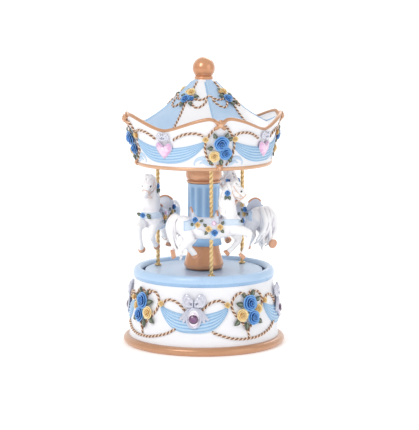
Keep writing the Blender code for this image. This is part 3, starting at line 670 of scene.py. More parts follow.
urn = curved([(9.7, 61.8), (9.9, 60.2), (10.5, 57.0), (11.6, 53.4), (12.45, 50.2), (12.2, 48.0),
              (11.2, 46.9)])
urn_section = [(BORE, 61.8)] + urn + [(BORE, 46.8)]
# Painted shade: the urn is darker below 48 mm, where it meets the turntable.
urn_clay = turned(urn_section, 96, lambda r, z: 0.55 - 0.25 * (z < 48))
piece("column_urn", urn_clay.mesh("column_urn"), POLISHED_GOLD, "carousel", "gold_paint", ["column_base"])

shaft = Clay()
heights = list(np.linspace(101.2, 68.4, 24)) + list(np.linspace(67.9, 62.1, 14))
shaft_rows, shaft_tints = [], []
for n in range(288):
    angle = 360 * n / 288
    across = (angle * FLUTES / 360) % 1 * 2 - 1
    hollow = max(0.0, 1 - (across / 0.78) ** 2) ** 0.5
    row, tints = [], []
    for z in heights:
        skirt = max(0.0, (68.2 - z) / 6.1)
        end = min(1.0, max(0.0, (100.2 - z) / 1.6)) * min(1.0, max(0.0, (z - 68.6) / 1.6))
        scallop = 0.25 * cos(tau * across / 2) * skirt
        reach = 10.0 - 0.42 * hollow * end + 1.45 * skirt ** 0.8 + scallop - 0.25 * (skirt > 0.95)
        row.append(spot(angle, reach, z))
        # Painted shade in the flutes' hollows; the flared skirt is painted darker too.
        tints.append(0.8 - 0.5 * hollow * end - 0.6 * skirt)
    row += [spot(angle, BORE, 62.1), spot(angle, BORE, 101.2)]
    shaft_rows.append(row)
    shaft_tints.append(tints + [0.3, 0.3])
shaft.grid(shaft_rows, shaft_tints, round_rows=True, round_columns=True)
piece("column_shaft_fluted", shaft.mesh("column_shaft_fluted"), SHAFT_PAINT, "carousel", "blue_paint",
      ["column_shaft"])

capital = [(11.0, 113.2), (11.35, 112.6), (11.3, 111.6), (11.05, 110.8), (11.15, 109.0), (11.4, 107.0),
           (11.25, 105.2), (10.75, 104.0), (10.35, 103.4), (10.4, 103.1), (10.85, 102.8), (10.9, 102.2),
           (10.5, 101.5)]
capital_section = [(BORE, 113.2)] + curved(capital, 60) + [(BORE, 101.5)]
# Painted highlight on the capital's widest rings, beyond 10.8 mm, and painted shade in the narrower grooves.
capital_clay = turned(capital_section, 96, lambda r, z: 0.4 + 0.25 * (r > 10.8))
piece("column_capital_gold", capital_clay.mesh("column_capital_gold"), POLISHED_GOLD, "carousel",
      "gold_paint", ["column_capital"])

# %% [markdown]
# ## The poles
#
# The poles are barley-twist brass rods. A plain rod with a bump texture would look smooth at its
# outline, so the twist is real: three rounded lobes that wind round the axis, in rings from the table
# to the ceiling. The lobes' crests reach exactly the solid's radius, so the rod still fits its holes.

# %% Twisted poles
POLE_RADIUS, POLE_TWIST = 1.25, 6.2
for number, pole_angle in enumerate(POLE_ANGLES, 1):
    low, high = box_mm(f"pole_{number}")
    centre = spot(pole_angle, POLE_CIRCLE)
    pole = Clay()
    pole_rows, pole_tints = [], []
    for z in np.arange(low.z, high.z, 0.4):
        row, tints = [], []
        for k in range(18):
            a = tau * k / 18
            lobe = abs(cos(a - tau * z / POLE_TWIST)) ** 0.7
            reach = POLE_RADIUS - 0.42 * (1 - lobe)
            row.append(centre + Vector((cos(a), sin(a), 0)) * reach + Vector((0, 0, z)))
            # Painted light on the twist: the lobes' crests are painted lighter and the grooves between them
            # darker.
            tints.append(-0.4 + 1.5 * lobe)
        pole_rows.append(row)
        pole_tints.append(tints)
    pole.grid(pole_rows, pole_tints, round_columns=True, caps=True)
    collar = rounded([(1.3, 47.7), (2.2, 47.7), (2.2, 46.8), (1.3, 46.8)], 0.35)
    pole.add(turned(collar, 32, lambda r, z: 0.7), Matrix.Translation(centre))
    piece(f"pole_twist_{number}", pole.mesh(f"pole_twist_{number}"), BRASS, "carousel", "brass",
          [f"pole_{number}"])
print("base, turntable, column and poles made")

# %% [markdown]
# ## The canopy
#
# The canopy is one casting too: a valance that flares outward to a wavy rim with four peaks, and a tent
# roof of eight panels, white and blue in turn, whose foot sweeps up to the rim. It is made in parts
# that follow the paint: the white valance with its inside, the roof panels, and the gold trim.
#
# The valance is a shell. Each section runs up the outside, over the rim and down the inside, and the
# sections go round in a closed ring.

# %% Valance, bands and rim
COLUMNS = 360
VALANCE_INSIDE, VALANCE_BOTTOM = 39.2, 114.8


def ring_of(section, steps=COLUMNS, tint=0.5):
    """A closed ring from a section that changes with the angle."""
    clay = Clay()
    rows = [section(FIRST_PEAK + 360 * n / steps) for n in range(steps)]
    clay.grid(rows, [[tint] * len(rows[0])] * steps, round_rows=True, round_columns=True)
    return clay


def valance_section(angle):
    radius, top = rim(angle)
    levels = [VALANCE_BOTTOM + (top - VALANCE_BOTTOM) * t for t in np.linspace(0, 1, 22)]
    outside = [on_valance(angle, level) for level in levels]
    inside = [spot(angle, radius - 1.6, top - 0.3), spot(angle, 43.0, 138.0),
              spot(angle, VALANCE_INSIDE, 134.0), spot(angle, VALANCE_INSIDE, VALANCE_BOTTOM)]
    return outside + inside


piece("valance_white", ring_of(valance_section).mesh("valance_white"), WHITE_PAINT, "carousel",
      "white_resin", ["canopy"])

band_section = rounded([(VALANCE_INSIDE, 115.6), (42.6, 115.6), (43.0, 114.9), (42.8, 113.9),
                        (42.1, CANOPY_BOTTOM), (VALANCE_INSIDE, CANOPY_BOTTOM)], 0.45)
# Painted highlight on the band's outer face, beyond 42.4 mm, with its inner faces darker, as painted shade.
band = turned(band_section[::-1], tint=lambda r, z: 0.35 + 0.45 * (r > 42.4))
piece("canopy_bottom_band", band.mesh("band"), GOLD_PAINT, "carousel", "gold_paint")

rim_path = [spot(a, rim(a)[0] - RIM_INSET, rim(a)[1]) for a in np.arange(0, 360, 0.75)]
rim_tube = Clay()
tube(rim_tube, rim_path, 1.14, 12, closed=True, tint=0.6)
piece("canopy_rim_gold", rim_tube.mesh("canopy_rim_gold"), GOLD_PAINT, "carousel", "gold_paint")

# %% [markdown]
# The eight roof panels are two pieces, one for each paint. Every panel is its own closed sheet, 1.2 mm
# thick, from the finial's neck to the rim, sagging a little between its ridges like stretched canvas.
# Under each peak the roof's foot turns up into a lip, which is white all round. The lip narrows to
# nothing in the valleys, so its edge is a radius that changes with the angle.


# %% Roof panels
LIP_FROM, PANEL = 41.0, 1.2


def lip_radius(angle):
    """Where the panel ends and the upturned lip begins."""
    edge = rim(angle)[0] - RIM_INSET
    return LIP_FROM + (edge - 0.3 - LIP_FROM) * (1 - abs(cos(radians(2 * from_peak(angle)))) ** 0.8)


def roof_sheet(angles, inner, outer, count):
    """A closed sheet of roof between two radii that may change with the angle."""
    clay = Clay()
    rows, tints = [], []
    for n, angle in enumerate(angles):
        top = [on_roof(angle, r) for r in np.linspace(inner(angle), outer(angle), count)]
        rows.append(top + [point - Vector((0, 0, PANEL)) for point in top[::-1]])
        tints.append([0.5 + 0.12 * (0 < n < len(angles) - 1)] * len(rows[-1]))
    clay.grid(rows, tints, round_columns=True, caps=True)
    return clay


identity = Matrix.Identity(4)
for paint, slot, name, start in ((WHITE_PAINT, "white_resin", "roof_panels_white", -45),
                                 (BLUE_PAINT, "blue_paint", "roof_panels_blue", 0)):
    panels = Clay()
    for turn in QUARTERS:
        span = FIRST_PEAK + start + turn + np.linspace(0, 45, 25)
        panels.add(roof_sheet(span, lambda a: ROOF[0][0], lip_radius, 38), identity)
    piece(name, panels.mesh(name), paint, "carousel", slot)
lips = Clay()
for turn in QUARTERS:
    span = FIRST_PEAK + turn + np.linspace(-45, 45, 61)
    lips.add(roof_sheet(span, lip_radius, lambda a: rim(a)[0] - RIM_INSET, 12), identity)
piece("roof_lips", lips.mesh("roof_lips"), WHITE_PAINT, "carousel", "white_resin")

# %% [markdown]
# Trim on the ridges: a narrow double fold of blue cloth down each peak ridge, and a twisted cord down
# each valley ridge. Cords hang between the ridges at half height, with a second, slacker one below.

# %% Folds, ridge cords and roof garlands
folds = Clay()
for turn in QUARTERS:
    peak = FIRST_PEAK + turn
    for side in (-1, 1):
        path = [on_roof(peak + side * 40 / max(r, 8), r, 0.15) for r in np.linspace(7.5, 46.5, 70)]
        # Painted light: one fold of each pair is painted lighter and the other darker, as painted shade.
        tube(folds, path, 0.5, 8, tint=0.75 if side > 0 else 0.4, flatten=0.7)
piece("roof_ridge_folds", folds.mesh("roof_ridge_folds"), SWAG_PAINT, "carousel", "blue_paint")


def roof_arc(start, end, high, low):
    """A cord on the roof from one angle to another, hanging from radius high down to radius low."""
    angles = np.linspace(start, end, 40)
    return [on_roof(a, high + (low - high) * abs(sin(pi * (a - start) / (end - start))) ** 0.8,
                    0.35) for a in angles]


roof_cords = Clay()
for turn in QUARTERS:
    peak = FIRST_PEAK + turn
    rope(roof_cords, smooth_path([on_roof(peak + 45, r, 0.3) for r in np.linspace(7.5, 43.5, 14)], 0.3),
         0.72, 2.6)
    for side in (-1, 1):
        rope(roof_cords, smooth_path(roof_arc(peak, peak + side * 42, 15.8, 18.0), 0.3), 0.72, 2.6)
        rope(roof_cords, smooth_path(roof_arc(peak + side * 6, peak + side * 38, 18.0, 22.6), 0.3), 0.72,
             2.6)
piece("roof_cords", roof_cords.mesh("roof_cords"), ROPE_PAINT, "carousel", "gold_paint")

# %% [markdown]
# ## The finial
#
# A polished ball on a short turned neck. The ball is a true sphere; the neck is a turned section.

# %% Ball finial
BALL_RADIUS = (finial_high.x - finial_low.x) / 2
ball_centre = TOP - BALL_RADIUS
ball = [(BALL_RADIUS * sin(a), ball_centre + BALL_RADIUS * cos(a)) for a in np.linspace(0, pi * 0.86, 40)]
neck = rounded([(3.2, 168.6), (5.3, 168.4), (5.9, 167.5), (5.6, 166.8), (6.0, ROOF_TOP + GAP),
                (BORE, ROOF_TOP + GAP), (BORE, 168.6)], 0.25)
# Painted light: the ball's paint grows lighter towards its top.
ball_clay = turned(ball + [(BORE, 166.6), (BORE, 171.0), (0, 171.0)], 96,
                   lambda r, z: 0.4 + 0.02 * (z - 167))
ball_clay.add(turned(neck, 96, lambda r, z: 0.6), identity)
piece("finial_ball", ball_clay.mesh("finial_ball"), POLISHED_GOLD, "carousel", "gold_paint", ["finial"])
print("canopy made")

# %% [markdown]
# ## Roses and leaves
#
# The roses are the object's signature. Each is a tight spiral bud with three rows of petals round it,
# cupped at first and rolled back at the rim. A petal could be a flat card with a picture on it, but a
# carved one has thickness, so each petal is a small curved sheet, and Solidify gives it its edge. One
# rose of unit size is modelled once for each of three patterns. Every rose on the object is then a
# moved, turned and scaled copy, so hundreds of petals cost one short function.


# %% One rose, one leaf
def petal(clay, turn, height, reach, width, cup, roll, steps=7):
    """One petal: starts at the axis, leans out to reach, and rolls back at its lip."""
    rows, tints = [], []
    for i in range(steps):
        share = i / (steps - 1)
        row, shades = [], []
        for j in range(steps):
            side = j / (steps - 1) * 2 - 1
            spread = side * width * (0.45 + 0.55 * sin(pi * min(share, 0.8) / 1.6) ** 0.7)
            lip = max(0.0, share - 0.62) / 0.38
            out = 0.1 + (reach - 0.1) * sin(share * pi / 2) ** 1.3 + roll * lip ** 2
            rise = height * share ** 0.85 - 0.35 * roll * lip ** 2 - 0.10 * lip * side * side
            out -= cup * side * side * out * 0.55
            angle = turn + spread
            row.append(Vector((out * cos(angle), out * sin(angle), rise)))
            # Painted shade deep in the petal and a painted highlight on its rolled lip.
            shades.append(0.08 + 0.5 * share ** 1.5 + 0.5 * lip)
        rows.append(row)
        tints.append(shades)
    clay.grid(rows, tints)


def rose_shape(seed, rows=3):
    """A rose of unit radius, its back on the plane z = 0, as a closed mesh's points and faces."""
    petals = Clay()
    start = seed * 0.7
    bud = []
    for n in range(26):
        angle = start + n * 0.42
        bud.append((angle, 0.05 + 0.011 * n))
    sheet, shades = [], []
    for level in (0.0, 0.5, 0.85, 1.0):
        sheet.append([Vector((r * (0.75 + 0.35 * level) * cos(a), r * (0.75 + 0.35 * level) * sin(a),
                              0.1 + 0.62 * level)) for a, r in bud])
        # Painted shade: the bud is darker the deeper it lies.
        shades.append([0.05 + 0.75 * level ** 2] * len(bud))
    petals.grid(sheet, shades)
    layout = ((3, 0.44, 0.66, 0.95, 0.35, 0.05), (4, 0.66, 0.54, 0.9, 0.3, 0.12),
              (5, 0.84, 0.36, 0.8, 0.22, 0.16))
    for ring, (count, reach, height, width, cup, roll) in enumerate(layout[:rows]):
        for n in range(count):
            turn = start * 1.3 + ring * 0.9 + tau * n / count
            petal(petals, turn, height, reach, width, cup, roll)
    core = Clay()
    # The core is painted darkest, as painted shade.
    core.grid([[Vector((r * cos(tau * k / 14), r * sin(tau * k / 14), z)) for k in range(14)]
               for r, z in ((0.62, 0.0), (0.66, 0.12), (0.42, 0.3), (0.1, 0.34))], [[0.03] * 14] * 4,
              round_columns=True, caps=True)
    mesh = petals.mesh("petals")
    thick = modified(mesh, ("SOLIDIFY", {"thickness": 0.055 * MM, "offset": 0.0}))
    lump = Clay()
    lump.points = [tuple(v.co / MM) for v in thick.vertices]
    lump.faces = [tuple(p.vertices) for p in thick.polygons]
    shades = np.zeros(len(thick.vertices))
    thick.attributes["tint"].data.foreach_get("value", shades)
    lump.tints = shades.tolist()
    lump.add(core, identity)
    return lump


def leaf_shape():
    """A pointed leaf of unit length along +Y, with a raised rib, its back on z = 0."""
    leaf = Clay()
    rows, tints = [], []
    for n in range(9):
        share = n / 8
        half = 0.34 * sin(pi * share ** 0.8) ** 0.9 + 0.012
        curl = 0.10 + 0.20 * sin(pi * share) - 0.1 * share
        top = [Vector((side * half, share, curl + 0.05 - 0.09 * side * side + 0.035 * (side == 0)))
               for side in (-1, -0.5, 0, 0.5, 1)]
        under = [Vector((side * half, share, curl - 0.05 - 0.09 * side * side)) for side in (1, 0, -1)]
        rows.append(top + under)
        # Painted light: the raised rib is lighter, the hollows beside it darker, and the underside darkest,
        # as painted shade.
        tints.append([0.45, 0.3, 0.85, 0.3, 0.45, 0.1, 0.1, 0.1])
    leaf.grid(rows, tints, round_columns=True, caps=True)
    return leaf


ROSES = [rose_shape(seed) for seed in (1, 2, 3)]
SMALL_ROSES = [rose_shape(seed, rows=2) for seed in (4, 5)]
LEAF = leaf_shape()
print(f"a rose has {len(ROSES[0].faces)} faces, a small one {len(SMALL_ROSES[0].faces)}")


# %% [markdown]
# A bouquet is laid out flat, in millimetres right and up of its middle, and each flower is pressed on
# the surface below it. The blue roses, yellow roses and leaves of all bouquets on one body go into one
# piece for each paint.


# %% Placing flowers on a surface
class Garden:
    """Roses and leaves that share a body, collected by paint."""

    def __init__(self):
        self.blue, self.yellow, self.leaves = Clay(), Clay(), Clay()
        self.count = 0

    def rose(self, place, radius, colour="blue", small=False, deep=1.0):
        """A rose in a frame of right, up and outward axes."""
        self.count += 1
        shapes = SMALL_ROSES if small else ROSES
        turn = Matrix.Rotation(self.count * 2.4, 4, "Z")
        scale = Matrix.Diagonal((radius, radius, radius * deep, 1))
        getattr(self, colour).add(shapes[self.count % len(shapes)], place @ turn @ scale)

    def leaf(self, place, angle, length, tip_up=12):
        """A leaf that points at an angle in degrees, clockwise from up."""
        turn = Matrix.Rotation(radians(-angle), 4, "Z") @ Matrix.Rotation(radians(tip_up), 4, "X")
        self.leaves.add(LEAF, place @ turn @ Matrix.Scale(length, 4))

    def bouquet(self, surface, angle, height, roses, leaves, lift=0.0, roof=False):
        """Roses as (right, up, radius, colour) and leaves as (right, up, angle, length), in millimetres."""
        for kind, rows in (("leaf", leaves), ("rose", roses)):
            for right, up, size, what in rows:
                here = surface(angle, height)
                around = angle + degrees_per_mm(here) * right
                level = height - up * 0.75 if roof else height + up
                place = facing(surface, around, level, lift)
                if roof:
                    place = place @ Matrix.Rotation(pi, 4, "Z")
                if kind == "rose":
                    self.rose(place, size, what, small=size < 2.6)
                else:
                    self.leaf(place, size, what)

    def plant(self, prefix, body):
        for name, clay, paint, slot in (("blue_roses", self.blue, ROSE_BLUE, "rose_blue"),
                                        ("yellow_roses", self.yellow, ROSE_YELLOW, "rose_blue"),
                                        ("leaves", self.leaves, LEAF_PAINT, "rose_blue")):
            piece(f"{prefix}_{name}", clay.mesh(name, sharp=60), paint, body, slot)


def degrees_per_mm(point):
    return 180 / pi / hypot(point.x, point.y)

# %% [markdown]
# ## Swags, cords, bows and hearts on the base
#
# Round the drum run four silver bows and, between them, four bouquets in heart-shaped wreaths of
# twisted cord. Pleated blue swags hang from rosette to rosette behind each bow. Cloth simulation would
# be wasted here, because this cloth is sculpted relief a millimetre deep: a swag is one sheet whose
# height is a row of folds that fade into the gathered ends.


# %% Swags
def swag(clay, surface, middle, half, upper, lower, thick=1.5, folds=6, power=3.2):
    """A pleated swag; upper and lower are each the height at the ends and the drop at the middle."""
    def level(along, across):
        top = upper[0] - upper[1] * (1 - along * along)
        bottom = lower[0] - lower[1] * (1 - abs(along) ** power)
        return top + (bottom - top) * across

    rows, tints = [], []
    for i in range(81):
        along = i / 40 - 1
        row, shades = [], []
        for j in range(41):
            across = j / 40
            pleat = (0.5 + 0.5 * cos(tau * folds * across ** 0.9 + 0.9 * sin(3.2 * along))) ** 0.8
            crown = sin(pi * across) ** 0.3 if 0 < across < 1 else 0.0
            full = 0.45 + 0.55 * (1 - along * along) ** 0.5
            lift = crown * thick * full * (0.6 + 0.4 * pleat) - 0.25 * (crown == 0)
            row.append(surface(middle + half * along, level(along, across), lift))
            # Painted shade in the pleats' hollows, with painted highlights on their crests; the back is
            # darkest.
            shades.append(0.22 + 0.6 * pleat * crown)
        back = [surface(middle + half * along, level(along, s), -0.45) for s in (0.9, 0.5, 0.1)]
        rows.append(row + back)
        tints.append(shades + [0.1] * 3)
    clay.grid(rows, tints, round_columns=True, caps=True)


def surface_path(surface, points, lift=0.4, step=0.32, closed=False):
    """A smooth path over a surface through (angle, height) points."""
    flat = smooth_path([Vector((a, z, 0)) for a, z in points], 0.7, closed)
    return smooth_path([surface(p.x, p.y, lift) for p in flat], step, closed)


ROPE_LIFT = 0.45
ROSETTE = 26.5
base_swags, base_cords, base_garden = Clay(), Clay(), Garden()
for turn in QUARTERS:
    bow = FIRST_BOW + turn
    swag(base_swags, on_drum, bow, ROSETTE + 0.8, (29.8, 4.6), (26.8, 13.0), thick=1.7)
    for side in (-1, 1):
        arch = ((25.6, 31.6), (21.5, 33.6), (16, 33.3), (11, 31.2), (6.5, 27.6))
        rope(base_cords, surface_path(on_drum, [(bow + side * a, z) for a, z in arch], ROPE_LIFT), 0.78,
             2.9)
    lower_cord = ((14.5, 14.6), (20, 12.8), (29, 10.4), (38, 9.3), (45, 9.2), (52, 9.4), (61, 10.8),
                  (70, 13.2), (77, 16.8))
    rope(base_cords, surface_path(on_drum, [(bow + a, z) for a, z in lower_cord], ROPE_LIFT), 0.8, 2.9)
piece("base_swags", base_swags.mesh("base_swags"), SWAG_PAINT, "base", "blue_paint")
print(f"{len(base_swags.faces)} faces in four swags")

# %% [markdown]
# The heart wreath is a cord along a heart-shaped curve, wrapped on the drum and leaning a little to the
# right, with its point on the long lower cord. Inside it a large blue rose sits over a second blue one
# and a yellow one, with leaves tucked round them. Every other heart has its bouquet mirrored.

# %% Heart wreaths and their bouquets
HEART_MIDDLE = 25.4


def heart_curve(width, height, lean=0.0, count=44, full=3.0):
    """A heart outline as (right, up), point down; lean moves its top right, a smaller full fattens it."""
    points = []
    for n in range(count):
        a = tau * n / count
        x = abs(sin(a)) ** full * (1 if sin(a) > 0 else -1)
        y = (13 * cos(a) - 5 * cos(2 * a) - 2 * cos(3 * a) - cos(4 * a) + 2.5) / 14.5
        points.append((x * width / 2 + lean * (y + 1), y * height / 2))
    return points


def wrapped(surface, angle, height, points, lift=ROPE_LIFT, step=0.32, closed=True):
    """Flat (right, up) points wrapped on a surface as a smooth path."""
    scale = degrees_per_mm(surface(angle, height))
    return smooth_path([surface(angle + x * scale, height + y, lift) for x, y in points], step, closed)


HEART_ROSES = ((1.0, 5.4, 5.4, "blue"), (3.3, -3.6, 4.8, "blue"), (-4.6, -1.4, 4.2, "yellow"),
               (8.2, 1.2, 3.2, "yellow"))
HEART_LEAVES = ((-3.8, 4.6, -72, 5.2), (3.2, 9.6, 24, 4.4), (6.0, 6.6, 62, 4.6), (-6.8, -4.4, -130, 4.8),
                (-1.8, -6.0, 188, 5.0), (6.4, -5.2, 122, 4.8), (-2.0, 9.0, -24, 3.6))
for number, turn in enumerate(QUARTERS):
    heart = FIRST_HEART + turn
    outline = heart_curve(24.0, 24.6, 1.1)
    rope(base_cords, wrapped(on_drum, heart - 1.5, HEART_MIDDLE, outline), 0.8, 2.9, closed=True)
    stem = [(-1.0, -12.0), (-0.6, -14.2), (-0.4, -16.6)]
    rope(base_cords, wrapped(on_drum, heart, HEART_MIDDLE, stem, closed=False), 0.66)
    loop = [(0.6, 8.2), (1.2, 11.2), (2.6, 12.8), (4.2, 12.0), (4.4, 10.2)]
    rope(base_cords, wrapped(on_drum, heart, HEART_MIDDLE, loop, closed=False), 0.6)
    side = 1 if number % 2 == 0 else -1
    roses = [(side * x, y, size, colour) for x, y, size, colour in HEART_ROSES]
    leaves = [(side * x, y, side * angle, length) for x, y, angle, length in HEART_LEAVES]
    base_garden.bouquet(on_drum, heart - 0.5, HEART_MIDDLE, roses, leaves, 0.5)
    for side in (-1, 1):
        place = facing(on_drum, FIRST_BOW + turn + side * ROSETTE, 30.9, 0.5)
        base_garden.rose(place, 2.5, "yellow", small=True)
piece("base_cords", base_cords.mesh("base_cords"), ROPE_PAINT, "base", "gold_paint")

# %% [markdown]
# Each silver bow has two puffed loops, a pleated knot and two forked tails. Below the knot hangs an
# oval silver setting with a violet stone. A loop is a flattened tube along a teardrop: it reads as
# folded ribbon because the tube is fat at the crown and thin at the knot.


# %% Silver bows
def front(point):
    """The outward direction of flat clay: along +Z."""
    return Vector((0, 0, 1))


def ball(clay, centre, size, tint=0.5, flat=1.0, sides=16):
    """A ball, flattened front to back if wished, in right, up and outward axes. Its tint rises towards
    the outward axis: painted light on that side and painted shade behind.
    """
    size = Vector(size) if not isinstance(size, (int, float)) else Vector((size, size, size * flat))
    round_it = [(cos(tau * k / sides), sin(tau * k / sides)) for k in range(sides)]
    rows = [[Vector(centre) + Vector((size.x * x * cos(e), size.y * y * cos(e), size.z * sin(e)))
             for x, y in round_it] for e in np.linspace(-1.45, 1.45, 9)]
    clay.grid(rows, [[tint - 0.25 + 0.06 * n] * sides for n in range(9)], round_columns=True, caps=True)


def bow_shape(tall=1.0, tails=True):
    """A bow of two loops, knot and forked tails, in right, up and outward axes, about 13 mm wide."""
    bow = Clay()
    for side in (-1, 1):
        for level, size in ((0.0, 1.0), (0.55, 0.66)):
            loop = [Vector((side * x * size, y * size * tall, 0.75 + level + 0.5 * sin(x / 2.1)))
                    for x, y in ((0.5, 0.8), (2.2, 4.0), (3.9, 5.7), (5.4, 4.9), (5.7, 2.3), (4.3, 0.0),
                                 (0.6, 0.0))]
            tube(bow, smooth_path(loop, 0.3), lambda s: 0.6 + 0.85 * sin(pi * s) ** 0.8, 12, tint=0.66,
                 flatten=0.6, out=front)
        for tail in (((0.8, -0.6), (3.6, -3.2), (4.9, -6.6), (6.2, -10.6)),
                     ((0.8, -0.6), (3.9, -3.2), (6.0, -6.2), (8.6, -9.2))) if tails else ():
            path = smooth_path([Vector((side * x, y, 0.7)) for x, y in tail], 0.3)
            tube(bow, path, lambda s: 0.5 + 0.75 * s - 0.6 * max(0, s - 0.8) / 0.2, 8, tint=0.62,
                 flatten=0.45, out=front)
    for n in range(5):
        x = (n - 2) * 0.72
        pleat = smooth_path([Vector((x * 1.1, 2.7, 0.9)), Vector((x, 1.2, 1.9)),
                             Vector((x * 1.2, -0.9, 1.2))], 0.3)
        # Painted shade on every other pleat of the knot, the others lighter.
        tube(bow, pleat, 0.48, 8, tint=0.2 + 0.45 * (n % 2), out=front)
    return bow


def oval(width, height, count=36, middle=0.0):
    return [(width / 2 * cos(tau * n / count),
             middle + height / 2 * sin(tau * n / count)) for n in range(count)]


def cut_stone(outline, height, table=0.55, low=0.0):
    """A faceted stone: girdle, a ring of crown facets and a flat table, from an outline. Its tint rises
    from girdle to table and alternates from facet to facet, as painted reflections.
    """
    gem = Clay()
    count = len(outline)
    rings, tints = [], []
    for share, z, shift, tint in ((1.0, low, 0, 0.15), (1.0, low + 0.3 * height, 0, 0.3),
                                  ((1 + table) / 2, low + 0.75 * height, 0.5, 0.5),
                                  (table, low + height, 0, 0.75)):
        ring, shades = [], []
        for n in range(count):
            x0, y0 = outline[n]
            x1, y1 = outline[(n + 1) % count]
            x, y = x0 + (x1 - x0) * shift, y0 + (y1 - y0) * shift
            ring.append(Vector((x * share, y * share, z)))
            shades.append(tint + 0.2 * (n % 2))
        rings.append(ring)
        tints.append(shades)
    gem.grid(rings, tints, round_columns=True, caps=True)
    return gem


def bent(clay, surface, angle, height, lift=0.0):
    """Wrap flat clay, in right, up and outward axes, on a surface."""
    scale = degrees_per_mm(surface(angle, height))
    moved = Clay()
    moved.points = [tuple(surface(angle + x * scale, height + y, lift + z)) for x, y, z in clay.points]
    moved.faces, moved.tints = clay.faces, clay.tints
    return moved


def ring_clay(outline, radius, flatten=0.8, lift=0.6, tint=0.6):
    """A rounded frame along a flat closed outline."""
    clay = Clay()
    path = smooth_path([Vector((x, y, lift)) for x, y in outline], 0.3, True)
    tube(clay, path, radius, 10, closed=True, tint=tint, flatten=flatten, out=front)
    return clay


BOW_HEIGHT, GEM_HEIGHT = 31.2, 22.6
BOW = bow_shape()
round_stone = [(2.85 * cos(tau * n / 16), 2.85 * sin(tau * n / 16)) for n in range(16)]
stones = Clay()
for number, turn in enumerate(QUARTERS, 1):
    bow = FIRST_BOW + 0.7 + turn
    silver = Clay()
    silver.add(bent(BOW, on_drum, bow, BOW_HEIGHT, 1.0), identity)
    silver.add(bent(ring_clay(oval(8.0, 11.6, middle=0.9), 0.85), on_drum, bow, GEM_HEIGHT, 1.4),
               identity)
    silver.add(bent(cut_stone(oval(7.8, 11.2, 20, 0.9), 1.9, 0.9), on_drum, bow, GEM_HEIGHT, 0.2),
               identity)
    piece(f"silver_bow_{number}", silver.mesh("silver_bow"), SILVER_PAINT, "base", "silver_paint",
          [f"base_bow_{number}"])
    # Painted reflection: the pale faceted oval under each violet stone stands for the bright facets round
    # its dark middle.
    stones.add(bent(cut_stone(oval(6.2, 8.9, 20), 1.1, 0.72), on_drum, bow, GEM_HEIGHT, 1.9), identity)
    gem = bent(cut_stone(round_stone, 1.2, 0.55), on_drum, bow, GEM_HEIGHT + 0.3, 2.6)
    piece(f"violet_gem_{number}", gem.mesh("violet_gem", sharp=5), VIOLET_STONE, "base", "violet_gem",
          [f"base_gem_{number}"])
piece("gem_glint_ovals", stones.mesh("gem_glint_ovals", sharp=5), PALE_STONE, "base", "pink_gem")
base_garden.plant("base", "base")
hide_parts(*[f"base_bouquet_{n}" for n in (1, 2, 3, 4)])
print(f"{base_garden.count} roses on the base")

# %% [markdown]
# ## Decoration of the canopy
#
# The canopy repeats the theme: at each of the four peaks a knotted cord holds an open oval wreath with
# a bouquet, and in each valley between them hangs a pink heart stone under a silver bow, with a blue
# swag behind it. The helpers are the same; only the surface and the numbers change.

# %% Swags, cords and knots on the valance
WREATH = FIRST_PEAK + 1.0
VALLEY = FIRST_PEAK - 45.0
valance_swags, valance_cords, knots, ribbons, canopy_garden = Clay(), Clay(), Clay(), Clay(), Garden()
WREATH_SIDE = ((3.2, 141.2), (6.2, 138.4), (9.4, 134.8), (11.5, 130.8), (11.8, 127.0), (10.7, 122.8),
               (8.4, 119.2), (5.4, 117.0))
for turn in QUARTERS:
    peak, valley = WREATH + turn, VALLEY + turn
    swag(valance_swags, on_valance, valley, 33.6, (131.8, 4.8), (128.8, 11.4), thick=1.4, power=2.8)
    for side in (-1, 1):
        arc = ((32.4, 135.4), (27, 136.6), (20, 136.2), (14, 134.6), (8.5, 132.2))
        rope(valance_cords, surface_path(on_valance, [(valley + side * a, z) for a, z in arc], ROPE_LIFT),
             0.78, 2.9)
        path = surface_path(on_valance, [(peak + side * a, z) for a, z in WREATH_SIDE], ROPE_LIFT)
        rope(valance_cords, path, 0.76, 2.8)
        place = facing(on_valance, peak + side * 11.4, 133.2, 0.5)
        canopy_garden.rose(place, 2.5, "yellow", small=True)
        for bend in (((5.0, 116.9), (8.6, 119.4), (12.8, 121.3), (17.4, 120.9), (20.6, 118.6),
                      (20.2, 116.9)),
                     ((5.4, 116.6), (9.4, 118.0), (13.4, 119.0), (16.4, 118.0))):
            ribbon = surface_path(on_valance, [(peak + side * a, z) for a, z in bend], 0.15)
            tube(ribbons, ribbon, lambda s: 0.4 + 0.8 * sin(pi * min(1, s * 1.15)) ** 0.7, 8, tint=0.5,
                 flatten=0.5)
    rim_top = rim(FIRST_PEAK + turn)[1]
    for angle, height, scale in ((FIRST_PEAK + turn, rim_top - 1.2, 1.0), (peak, 115.4, 0.62)):
        knot = Clay()
        for spread, reach, rise in ((38, 4.3, 0.6), (142, 4.3, 0.6), (216, 4.3, 0.4), (324, 4.3, 0.4),
                                    (90, 3.4, 0.9)):
            far = Vector((cos(radians(spread)) * reach, sin(radians(spread)) * reach, rise - 0.7))
            tube(knot, smooth_path([Vector((0, 0, rise)), far * 0.55 + Vector((0, 0, 0.5)), far], 0.3),
                 lambda s: 0.85 + 0.35 * sin(pi * s), 10, tint=0.6, flatten=0.75, out=front)
        ball(knot, (0, 0, 1.0), 1.6, 0.75, 0.8)
        sized = Clay()
        sized.add(knot, Matrix.Scale(scale, 4))
        knots.add(bent(sized, on_valance, angle, height, 0.6), identity)
piece("valance_swags", valance_swags.mesh("valance_swags"), SWAG_PAINT, "carousel", "blue_paint")
piece("valance_ribbons", ribbons.mesh("valance_ribbons"), PALE_BLUE, "carousel", "blue_paint")
piece("valance_cords", valance_cords.mesh("valance_cords"), ROPE_PAINT, "carousel", "gold_paint")
